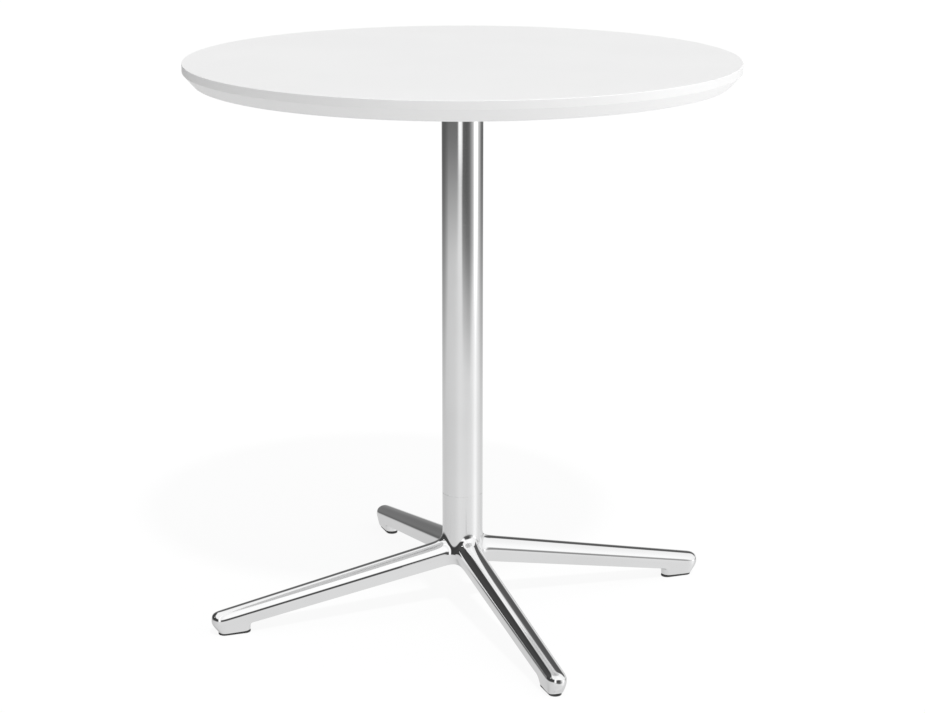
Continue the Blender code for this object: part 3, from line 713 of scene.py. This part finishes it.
def centre_rings():
    """Rings from the pocket's mouth, up the bore and over the spigot, down to the neck's foot.

    Each entry is the ring and whether its edge stays sharp.
    """
    spigot = COLUMN_RADIUS - 0.0023
    top = BASE_HIGH.z
    edge = 0.00015
    sharp = [(POCKET_RADIUS, HUB_BOTTOM_Z), (POCKET_RADIUS, POCKET_ROOF_Z), (ROD_BORE, POCKET_ROOF_Z),
             (ROD_BORE, WEB_TOP_Z), (NECK_BORE, WEB_TOP_Z), (NECK_BORE, top), (spigot - 0.0008, top),
             (spigot, SEAM_Z), (COLUMN_RADIUS - edge, SEAM_Z), (COLUMN_RADIUS, SEAM_Z - edge)]
    flowing = [(COLUMN_RADIUS, (0.1100, 0.1095, 0.1030, 0.0955)),
               (COLUMN_RADIUS, (0.1015, 0.1010, 0.0935, 0.0865)),
               ((0.0285, 0.0281, 0.0272, 0.0268), (0.0950, 0.0942, 0.0870, 0.0810))]
    return [(turned_ring(*sizes), sizes in sharp) for sizes in sharp + flowing]


class EighthCage:
    """Collects quads of one eighth of the base and copies them into all eight."""

    def __init__(self):
        self.quads = []
        self.sharp = []

    def strip(self, first, second, rows, finish=OUTSIDE):
        for a, b in zip(rows, rows[1:]):
            self.face(first[a], first[b], second[b], second[a], finish=finish)

    def face(self, *points, finish=OUTSIDE):
        self.quads.append((points, finish))

    def write(self, bm):
        crease = bm.edges.layers.float.new("crease_edge")
        known = {}

        def vertex(point):
            key = tuple(round(value * 1e6) for value in point)
            if key not in known:
                known[key] = bm.verts.new(point)
            return known[key]

        for turn in quarter_turns():
            for flip in (1, -1):
                place = turn @ Matrix.Diagonal((1, flip, 1, 1))
                for quad, finish in self.quads:
                    corners = []
                    for point in quad:
                        found = vertex(place @ Vector(point))
                        if found not in corners:
                            corners.append(found)
                    face = bm.faces.new(corners if flip > 0 else corners[::-1])
                    face.material_index = finish
                for start, end in self.sharp:
                    edge = bm.edges.get((vertex(place @ Vector(start)), vertex(place @ Vector(end))))
                    edge[crease] = 1.0
                    edge.smooth = False


def build_cage(bm):
    cage = EighthCage()

    # arm, from its root to the end of the channel
    channel = [arm_section(x, True) for x in (ARM_ROOT, 0.050, 0.165, CHANNEL_END)]
    for first, second in zip(channel, channel[1:]):
        cage.strip(first, second, list(range(CROWN, RIM + 1)))
        cage.strip(first, second, [RIM, ROOF, ROOF_MID], INSIDE)
    start, end = channel[0], channel[-1]
    start_mid = (start[RIM][0], 0.0, start[RIM][2])
    end_mid = (end[RIM][0], 0.0, end[RIM][2])
    cage.face(start[RIM], start[ROOF], start[ROOF_MID], start_mid, finish=INSIDE)
    cage.face(end[ROOF], end[RIM], end_mid, end[ROOF_MID], finish=INSIDE)

    # boss and nose
    solid = [dict(end)] + tip_sections()
    solid[0][MID] = end_mid
    for first, second in zip(solid, solid[1:]):
        cage.strip(first, second, list(range(CROWN, RIM + 1)) + [MID])
    centre_section = solid[-1]
    around = nose_sections(centre_section)
    side_rows = list(range(CROWN, EDGE + 1))
    cage.strip(centre_section, around[0], side_rows)
    cage.strip(around[0], around[1], side_rows)
    tip = around[2]
    cage.face(around[1][CROWN], around[1][UPPER], around[1][HAUNCH], tip[HAUNCH])
    cage.strip(around[1], tip, [HAUNCH, SHOULDER, SIDE, LOW_SIDE, EDGE])
    cage.face(centre_section[RIM], centre_section[EDGE], around[0][EDGE], around[1][EDGE])
    cage.face(centre_section[MID], centre_section[RIM], around[1][EDGE], tip[EDGE])

    # between the arms, and under the hub
    spread, diagonal = hub_points()
    wrap_rows = [SHOULDER, SIDE, LOW_SIDE, EDGE, RIM]
    cage.strip(spread, start, wrap_rows)
    cage.strip(diagonal, spread, wrap_rows)

    rings = centre_rings()
    mouth = rings[0][0]
    cage.face(mouth[0], mouth[1], start[RIM], start_mid, finish=INSIDE)
    cage.face(mouth[1], mouth[2], spread[RIM], start[RIM], finish=INSIDE)
    cage.face(mouth[2], mouth[3], diagonal[RIM], spread[RIM], finish=INSIDE)

    # bore, spigot and neck
    first_outside = len(rings) - 5
    for number, ((lower, _), (upper, _)) in enumerate(zip(rings, rings[1:])):
        for i in range(3):
            cage.face(lower[i], lower[i + 1], upper[i + 1], upper[i],
                      finish=OUTSIDE if number >= first_outside else INSIDE)
    for points, is_sharp in rings:
        if is_sharp:
            cage.sharp += list(zip(points, points[1:]))

    # neck foot to the arm's round top
    foot = rings[-1][0]
    cage.face(foot[0], foot[1], start[UPPER], start[CROWN])
    cage.face(foot[1], foot[2], start[HAUNCH], start[UPPER])
    cage.face(foot[2], spread[SHOULDER], start[SHOULDER], start[HAUNCH])
    cage.face(foot[2], foot[3], diagonal[SHOULDER], spread[SHOULDER])
    cage.write(bm)


def build_base():
    bm = bmesh.new()
    build_cage(bm)
    base = finish_piece("polished_base", bm, "polished_casting", ["base_casting"], None)
    base.data.materials.append(MATERIALS["raw_casting"])
    smooth = base.modifiers.new("smooth", "SUBSURF")
    smooth.levels = BASE_LEVELS
    smooth.render_levels = BASE_LEVELS


# ==== spider under the top
PLATE_TOP_Z = SPIDER_HIGH.z
SPIDER_THICKNESS = 0.006
PLATE_BOTTOM_Z = PLATE_TOP_Z - SPIDER_THICKNESS
SPIDER_REACH = SPIDER_HIGH.x
SPIDER_HALF = 0.016
SPIDER_FILLET = 0.018
BOSS_RADIUS = 0.0329
SOCKET_RADIUS = COLUMN_RADIUS + CLEARANCE
SOCKET_ROOF = 0.0060  # thickness above the tube, below the plate
NUT_POCKET = 0.0176  # across the flats
NUT_POCKET_DEPTH = 0.0061
OVERSHOOT = 0.001  # how far a cutting shape stands out of what it cuts
SCREW_RING = 0.128
SCREW_RADIUS = 0.0030
SCREW_HOLE = SCREW_RADIUS + CLEARANCE
SCREW_HEAD_RADIUS = 0.0058
SCREW_HEAD_HEIGHT = 0.0038
SCREW_KEY = 0.0040
WASHER_RADIUS = 0.0075
HEX_SEGMENTS = 48


def spider_outline(inset, z):
    """A cross with round ends and a fillet in each inner corner, drawn in by the inset."""
    end_centre = SPIDER_REACH - SPIDER_HALF
    corner = SPIDER_HALF + SPIDER_FILLET
    end_radius = SPIDER_HALF - inset
    fillet = SPIDER_FILLET + inset
    quarter = []
    for i in range(33):
        angle = math.radians(-90 + 180 * i / 32)
        quarter.append(Vector((end_centre + end_radius * math.cos(angle), end_radius * math.sin(angle), z)))
    for i in range(17):
        angle = math.radians(270 - 90 * i / 16)
        quarter.append(Vector((corner + fillet * math.cos(angle), corner + fillet * math.sin(angle), z)))
    return [turn @ point for turn in quarter_turns() for point in quarter]


def build_spider():
    loops = rounded_rim(spider_outline, 0.0012, PLATE_BOTTOM_Z)
    loops += [spider_outline(0.0, PLATE_TOP_Z - 0.0004), spider_outline(0.0004, PLATE_TOP_Z)]
    plate = bmesh.new()
    join_loops(plate, loops, True)
    bmesh.ops.recalc_face_normals(plate, faces=plate.faces)

    mouth = SPIDER_LOW.z
    boss = [(BOSS_RADIUS - 0.0040, mouth), (BOSS_RADIUS, mouth),
            (BOSS_RADIUS + 0.0008, PLATE_BOTTOM_Z - 0.004),
            (BOSS_RADIUS + 0.0035, PLATE_BOTTOM_Z + 0.0015)]
    boss = supported(eased(boss, [0, 0.0012, 0.004, 0], closed=False, steps=6), False)
    roof = PLATE_BOTTOM_Z - SOCKET_ROOF
    above = PLATE_TOP_Z + OVERSHOOT
    lead = 0.0006
    socket = [(SOCKET_RADIUS + lead, mouth - OVERSHOOT), (SOCKET_RADIUS + lead, mouth),
              (SOCKET_RADIUS, mouth + lead), (SOCKET_RADIUS, roof), (ROD_HOLE, roof), (ROD_HOLE, above)]
    flats = hexagon(NUT_POCKET)
    pocket = [(flats, PLATE_TOP_Z - NUT_POCKET_DEPTH), (flats, above)]
    changes = [("UNION", turned_shape(boss, True, 128)),
               ("DIFFERENCE", turned_shape(socket, True, 128)),
               ("DIFFERENCE", turned_shape(pocket, True, 6))]
    for turn in quarter_turns():
        place = turn @ Matrix.Translation((SCREW_RING, 0, 0))
        hole = [(SCREW_HOLE, PLATE_BOTTOM_Z - OVERSHOOT), (SCREW_HOLE, above)]
        changes.append(("DIFFERENCE", turned_shape(hole, True, 32, place)))
    finish_piece("cast_spider", carved(plate, changes), "cast_metal", ["top_spider"], math.radians(28))


def build_top_screws():
    """Button-head socket screws, seen from below, each on its washer."""
    for number, turn in enumerate(quarter_turns(), start=1):
        place = turn @ Matrix.Translation((SCREW_RING, 0, 0))
        washer_low, washer_high = heights_of(f"top_washer_{number}")
        washer = eased([(SCREW_HOLE, washer_low), (WASHER_RADIUS, washer_low),
                        (WASHER_RADIUS, washer_high), (SCREW_HOLE, washer_high)],
                       [0.0002, 0.0004, 0.0004, 0.0002], closed=True, steps=4)
        finish_piece(f"screw_washer_{number}", turned_shape(washer, False, 64, place), "zinc_steel",
                     [f"top_washer_{number}"])

        low, high = heights_of(f"top_screw_{number}")
        head_top = low + SCREW_HEAD_HEIGHT
        key = hexagon(SCREW_KEY)
        dome = eased([(SCREW_RADIUS, low), (0.0044, low), (SCREW_HEAD_RADIUS - 0.0001, low + 0.0022),
                      (SCREW_HEAD_RADIUS, head_top), (SCREW_RADIUS, head_top)],
                     [0, 0.0022, 0.0016, 0.0002, 0], closed=False, steps=6)
        screw = [(key, low + 0.0028), (key, low + 0.0002), (0.0026, low)] + dome
        screw += thread(SCREW_RADIUS, head_top + 0.001, high - 0.001, 0.0010) + [(0.0022, high)]
        finish_piece(f"button_screw_{number}", turned_shape(screw, True, HEX_SEGMENTS, place), "zinc_steel",
                     [f"top_screw_{number}"])


# ==== tie rod and the hardware in the hub's pocket
ROD_THREADED = 0.030  # length of the thread at each end
ROD_PITCH = 0.00125
NUT_FLATS = 0.017
ROD_WASHER_RADIUS = 0.010
SPRING_WASHER_RADIUS = 0.009


def build_nut(name, node):
    """Hexagon nut, its corners turned down to a cone at both ends."""
    low, high = heights_of(node)
    reach = hexagon(NUT_FLATS)
    cone = NUT_FLATS / 2 - 0.0002
    lead = 0.0005

    def drop(angle):
        return (reach(angle) - cone) * math.tan(math.radians(30))

    profile = [(ROD_HOLE + lead, low), (cone, low), (reach, lambda angle: low + drop(angle)),
               (reach, lambda angle: high - drop(angle)), (cone, high), (ROD_HOLE + lead, high),
               (ROD_HOLE, high - lead), (ROD_HOLE, low + lead)]
    finish_piece(name, turned_shape(profile, False, 96), "zinc_steel", [node], math.radians(20))


def build_spring_washer():
    """A ring with a narrow split, one end of the split a little above the other."""
    low, high = heights_of("rod_spring_washer")
    rise = 0.0002
    split = math.radians(14)
    steps = 96
    sections = []
    for i in range(steps + 1):
        share = i / steps
        angle = split / 2 + (math.tau - split) * share
        base = low + rise * share
        top = high - rise * (1 - share)
        outline = eased([(ROD_HOLE, base), (SPRING_WASHER_RADIUS, base), (SPRING_WASHER_RADIUS, top),
                         (ROD_HOLE, top)], [0.0002] * 4, closed=True, steps=3)
        sections.append([Vector((reach * math.cos(angle), reach * math.sin(angle), z))
                         for reach, z in outline])
    bm = bmesh.new()
    join_loops(bm, sections, True)
    finish_piece("split_washer", bm, "zinc_steel", ["rod_spring_washer"])


def build_rod_hardware():
    build_nut("hex_nut", "rod_lower_nut")
    build_nut("thin_nut", "rod_upper_nut")
    build_spring_washer()
    low, high = heights_of("rod_washer")
    flat = eased([(ROD_HOLE, low), (ROD_WASHER_RADIUS, low), (ROD_WASHER_RADIUS, high), (ROD_HOLE, high)],
                 [0.0002, 0.0005, 0.0005, 0.0002], closed=True, steps=4)
    turned("flat_washer", flat, "zinc_steel", ["rod_washer"], segments=96)
    end_radius = ROD_RADIUS - 0.0007
    rod = [(0.0030, ROD_LOW.z), (end_radius, ROD_LOW.z)]
    rod += thread(ROD_RADIUS, ROD_LOW.z + 0.0006, ROD_LOW.z + ROD_THREADED, ROD_PITCH)
    rod += thread(ROD_RADIUS, ROD_HIGH.z - ROD_THREADED, ROD_HIGH.z - 0.001, ROD_PITCH)
    rod += [(end_radius, ROD_HIGH.z)]
    finish_piece("threaded_rod", turned_shape(rod, True, 64), "zinc_steel", ["tie_rod"], math.radians(50))


# ==== feet
GLIDE_HALF = GLIDE_HIGH.y
GLIDE_CENTRE = (GLIDE_IN + GLIDE_OUT) / 2
GLIDE_SEGMENTS = 96
GLIDE_HOLE = 0.0023
COUNTERSINK = 0.0041
GLIDE_SCREW_RADIUS = 0.0020
GLIDE_SCREW_KEY = 0.0025


def glide_loop(half, straight, z):
    """A circle round the glide's centre, its two halves drawn apart along X by straight."""
    points = []
    for i in range(GLIDE_SEGMENTS):
        angle = math.tau * (i + 0.5) / GLIDE_SEGMENTS
        x = GLIDE_CENTRE + math.copysign(straight, math.cos(angle)) + half * math.cos(angle)
        points.append(Vector((x, half * math.sin(angle), z)))
    return points


def glide_outline(inset, z):
    return glide_loop(GLIDE_HALF - inset, (GLIDE_OUT - GLIDE_IN) / 2 - GLIDE_HALF, z)


def build_feet():
    high = GLIDE_HIGH.z
    loops = rounded_rim(glide_outline, 0.0009, 0.0)
    loops += [glide_outline(0.0, high - 0.0003), glide_outline(0.0003, high)]
    hole = [(GLIDE_HOLE, high), (GLIDE_HOLE, 0.0023), (COUNTERSINK, 0.0007), (COUNTERSINK, 0.0002),
            (COUNTERSINK + 0.0002, 0.0)]
    loops += [glide_loop(radius, 0.0, z) for radius, z in hole]
    key = hexagon(GLIDE_SCREW_KEY)
    for number, turn in enumerate(quarter_turns(), start=1):
        bm = bmesh.new()
        join_loops(bm, loops, False, turn)
        finish_piece(f"nylon_glide_{number}", bm, "black_glide", [f"foot_glide_{number}"])

        low, top = heights_of(f"glide_screw_{number}")
        screw = [(key, low + 0.0010), (key, low + 0.00015), (0.0016, low), (0.0036, low),
                 (0.0038, low + 0.00015), (GLIDE_SCREW_RADIUS, low + 0.0016)]
        screw += thread(GLIDE_SCREW_RADIUS, low + 0.0020, top - 0.0006, 0.0008) + [(0.0014, top)]
        place = turn @ Matrix.Translation((GLIDE_CENTRE, 0, 0))
        finish_piece(f"countersunk_screw_{number}", turned_shape(screw, True, HEX_SEGMENTS, place),
                     "zinc_steel", [f"glide_screw_{number}"])


# ==== carried-over CAD nodes
def dress_cad_nodes():
    """Every CAD node gets its slot's material."""
    slots = {entry["node"]: entry["material_slot"] for entry in frame["record"]["subparts"]}
    for name, node in nodes.items():
        if not node.material_slots:
            node.data.materials.append(None)
        for cell in node.material_slots:
            cell.link = "OBJECT"
            cell.material = MATERIALS[slots[name]]


# ==== studio
def seen(level):
    """Light that the polished metal shows as this 8-bit grey, by the sRGB curve."""
    share = level / 255
    return ((share + 0.055) / 1.055) ** 2.4 / METAL_SHINE


def build_world():
    """A bright studio: white from above and from the right, a dark band near the horizon, and a floor
    that darkens from the table to the horizon. Bearings are degrees to the right of the direction towards
    the camera."""
    world = bpy.data.worlds.new("studio")
    bpy.context.scene.world = world
    world.use_nodes = True
    graph = Graph(world.node_tree)
    direction = graph.node("ShaderNodeTexCoord").outputs["Generated"]
    turned_direction = graph.from_camera(direction)
    east, north, up = graph.split(turned_direction)
    towards = graph.math("MULTIPLY", north, -1.0)
    bearing = graph.math("DEGREES", graph.math("ARCTAN2", east, towards))
    height = graph.math("DEGREES", graph.math("ARCSINE", up))
    depth = graph.math("MULTIPLY", height, -1.0)
    round_share = graph.ramp(bearing, -180.0, 180.0, curve="LINEAR")

    def round_about(stops, top=1.0):
        """Value that follows the bearing through (bearing, value) stops."""
        made = graph.node("ShaderNodeValToRGB")
        graph.link(round_share, made.inputs["Fac"])
        cells = made.color_ramp.elements
        while len(cells) < len(stops):
            cells.new(1.0)
        for cell, (at, value) in zip(cells, stops):
            cell.position = (at + 180) / 360
            cell.color = grey(value / top)
        return graph.math("MULTIPLY", made.outputs["Color"], top)

    def levels(stops):
        return round_about([(at, seen(level)) for at, level in stops], 2.0)

    light_path = graph.node("ShaderNodeLightPath").outputs
    soft_light = light_path["Is Diffuse Ray"]

    # above the horizon: where the white begins, how dark it is below that, and the level at the horizon
    limit = round_about([
        (-180, 50), (-165, 45), (-155, 37), (-138, 49), (-115, 49), (-90, 43), (-70, 38), (-60, 31),
        (-45, 28), (-30, 24), (-20, 19), (-10, 11), (8, 12), (24, 14), (36, 10), (46, 8), (58, 4), (66, -2),
        (108, -2), (112, 8), (118, 22), (126, 33), (137, 39), (148, 43), (166, 48), (180, 50)
    ], 90.0)
    whiteness = graph.ramp(graph.math("SUBTRACT", height, limit), -4.5, 4.5)
    band = levels([
        (-180, 96), (-155, 96), (-142, 64), (-130, 60), (-115, 72), (-80, 72), (-60, 68), (-45, 55),
        (-28, 56), (-10, 78), (15, 92), (35, 92), (46, 150), (60, 170), (112, 170), (124, 104), (145, 84),
        (165, 84), (180, 96)
    ])
    horizon = levels([
        (-180, 134), (-165, 119), (-150, 116), (-143, 112), (-136, 66), (-120, 56), (-60, 60), (-30, 58),
        (-10, 74), (12, 72), (36, 72), (42, 126), (50, 165), (58, 236), (90, 240), (112, 224), (140, 232),
        (162, 236), (172, 150), (180, 134)
    ])
    dark = graph.mix(graph.ramp(height, 2.0, 18.5), horizon, band)
    polish_white = levels([
        (-180, 240), (-150, 247), (-60, 247), (-12, 240), (6, 242), (16, 255), (44, 255), (70, 248),
        (95, 243), (140, 241), (180, 240)
    ])
    lit_white = round_about([
        (12, WHITE_LEVEL), (52, RIGHT_LEVEL), (115, RIGHT_LEVEL), (150, WHITE_LEVEL)
    ], 2.0)
    above = graph.mix(whiteness, dark, graph.mix(soft_light, polish_white, lit_white))
    zenith = graph.math("MULTIPLY", graph.ramp(height, 52.0, 70.0, 0.0, ZENITH_EXTRA), soft_light)
    above = graph.math("ADD", above, zenith)

    # a small lamp on the left
    lamp = (math.sin(LAMP_BEARING) * math.cos(LAMP_HEIGHT), -math.cos(LAMP_BEARING) * math.cos(LAMP_HEIGHT),
            math.sin(LAMP_HEIGHT))
    towards_lamp = graph.node("ShaderNodeVectorMath", operation="DOT_PRODUCT")
    graph.link(turned_direction, towards_lamp.inputs[0])
    towards_lamp.inputs[1].default_value = lamp
    spot = graph.ramp(towards_lamp.outputs["Value"], math.cos(LAMP_SIZE * 1.4), math.cos(LAMP_SIZE * 0.6))
    above = graph.math("ADD", above, graph.math("MULTIPLY", spot, LAMP_LEVEL))

    # below the horizon: the floor, dark far away and light near the table, a little darker right under it
    far = levels([
        (-180, 104), (-160, 108), (-146, 106), (-136, 88), (-110, 86), (-80, 99), (-32, 98), (0, 93),
        (24, 86), (38, 100), (50, 146), (62, 187), (68, 250), (73, 286), (88, 286), (94, 240), (100, 201),
        (110, 175), (120, 132), (130, 96), (142, 96), (160, 108), (180, 104)
    ])
    far = graph.mix(graph.ramp(depth, 4.0, 9.5), horizon, far)
    near = levels([
        (-180, 205), (-150, 203), (-120, 196), (-80, 202), (-45, 206), (-16, 219), (24, 216), (50, 221),
        (60, 229), (72, 243), (80, 246), (100, 222), (130, 207), (155, 212), (180, 205)
    ])
    under = levels([
        (-180, 196), (-150, 184), (-130, 180), (-110, 198), (-90, 205), (-45, 210), (0, 212), (50, 216),
        (90, 219), (130, 210), (180, 196)
    ])
    near = graph.mix(graph.ramp(depth, 24.0, 44.0), near, under)
    begins = round_about([
        (-180, 1.0), (-168, 5.0), (-155, 9.0), (-130, 9.5), (-110, 8.8), (-32, 9.0), (-16, 8.3), (-6, 8.5),
        (0, 10.6), (40, 11.6), (80, 12.0), (100, 11.5), (120, 9.0), (160, 9.0), (180, 1.0)
    ], 20.0)
    ends = round_about([
        (-180, 10.0), (-168, 14.0), (-155, 18.0), (-130, 17.8), (-110, 16.5), (-84, 13.4), (-32, 13.4),
        (-16, 11.6), (-6, 12.0), (0, 15.0), (8, 15.8), (40, 16.4), (66, 13.6), (80, 16.0), (90, 13.5),
        (120, 18.0), (160, 18.0), (180, 10.0)
    ], 20.0)
    floor = graph.mix(graph.ramp(depth, begins, ends), far, near)
    level = graph.mix(graph.ramp(depth, -1.0, 1.0), above, floor)

    # a tall bright window, a little left of the camera
    window = round_about([(-29, 0.0), (-19, 1.0), (-6, 1.0), (5, 0.0)])
    window = graph.math("MULTIPLY", window, graph.ramp(depth, 9.7, 11.1, 1.0, 0.0))
    level = graph.math("MAXIMUM", level, graph.math("MULTIPLY", window, WINDOW_LEVEL))

    # what the metal shows of its own reflections never gets very dark, from a little above the horizon down
    repeated = graph.ramp(light_path["Ray Depth"], 2.2, 2.8, 0.0, seen(REPEATED_LEVEL), "LINEAR")
    repeated = graph.math("MULTIPLY", repeated, graph.ramp(depth, -REPEATED_RISE, 0.0))
    level = graph.math("MAXIMUM", level, repeated)

    shown = graph.mix(light_path["Is Camera Ray"], level, 1.0)
    background = graph.node("ShaderNodeBackground")
    background.inputs["Color"].default_value = grey(1.0)
    graph.link(shown, background.inputs["Strength"])
    output = graph.node("ShaderNodeOutputWorld")
    graph.link(background.outputs["Background"], output.inputs["Surface"])


def build_sun(floor):
    """The lamp that draws the table's shadow: high, in front and to the right. It lights the floor only."""
    lamp = bpy.data.lights.new("sun", "SUN")
    lamp.energy = SUN_STRENGTH
    lamp.angle = SUN_SIZE
    sun = in_scene("sun", lamp)
    sun.rotation_euler = (math.radians(90) - SUN_HEIGHT, 0.0, CAMERA_AZIMUTH + SUN_BEARING)
    sun.visible_glossy = False
    lit = bpy.data.collections.new("lit_by_sun")
    lit.objects.link(floor)
    sun.light_linking.receiver_collection = lit


def build_floor():
    """A pale floor that takes only a faint shadow and is clear from below. The camera sees one brightness;
    the table gets more from the right and from behind."""
    bm = bmesh.new()
    bmesh.ops.create_circle(bm, cap_ends=True, segments=96, radius=FLOOR_RADIUS)
    floor = in_scene("floor", mesh_of("floor", bm))
    floor.location.z = -0.0002

    made = bpy.data.materials.new("pale_floor")
    made.use_nodes = True
    graph = Graph(made.node_tree)
    lit = graph.node("ShaderNodeBsdfDiffuse")
    lit.inputs["Color"].default_value = grey(FLOOR_COLOUR)
    glow = graph.node("ShaderNodeEmission")
    spot = graph.split(graph.from_camera(graph.node("ShaderNodeTexCoord").outputs["Object"]))
    glow_here = graph.ramp(spot["X"], -1.2, 1.2, FLOOR_GLOW_LEFT, FLOOR_GLOW_RIGHT, "LINEAR")
    glow_depth = graph.ramp(spot["Y"], -1.0, 1.0, FLOOR_GLOW_FRONT, FLOOR_GLOW_BACK, "LINEAR")
    glow_here = graph.math("MULTIPLY", glow_here, glow_depth)
    camera_ray = graph.node("ShaderNodeLightPath").outputs["Is Camera Ray"]
    graph.link(graph.mix(camera_ray, glow_here, FLOOR_SEEN), glow.inputs["Strength"])
    both = graph.node("ShaderNodeAddShader")
    graph.link(lit.outputs[0], both.inputs[0])
    graph.link(glow.outputs[0], both.inputs[1])
    clear = graph.node("ShaderNodeBsdfTransparent")
    choose = graph.node("ShaderNodeMixShader")
    graph.link(graph.node("ShaderNodeNewGeometry").outputs["Backfacing"], choose.inputs[0])
    graph.link(both.outputs[0], choose.inputs[1])
    graph.link(clear.outputs[0], choose.inputs[2])
    output = graph.node("ShaderNodeOutputMaterial")
    graph.link(choose.outputs[0], output.inputs["Surface"])
    floor.data.materials.append(made)
    floor.visible_glossy = False
    return floor


def build_camera():
    data = bpy.data.cameras.new("camera")
    data.sensor_width = 36.0
    data.lens = CAMERA_LENS
    camera = in_scene("camera", data)
    camera.location = (CAMERA_DISTANCE * math.sin(CAMERA_AZIMUTH),
                       -CAMERA_DISTANCE * math.cos(CAMERA_AZIMUTH), CAMERA_HEIGHT)
    camera.rotation_euler = (math.radians(90) - CAMERA_PITCH, 0.0, CAMERA_AZIMUTH)
    bpy.context.scene.camera = camera


build_camera()
build_world()
build_sun(build_floor())
dress_cad_nodes()
build_top()
build_spider()
build_top_screws()
build_column()
build_rod_hardware()
build_base()
build_feet()

bpy.context.scene.view_settings.view_transform = "Standard"
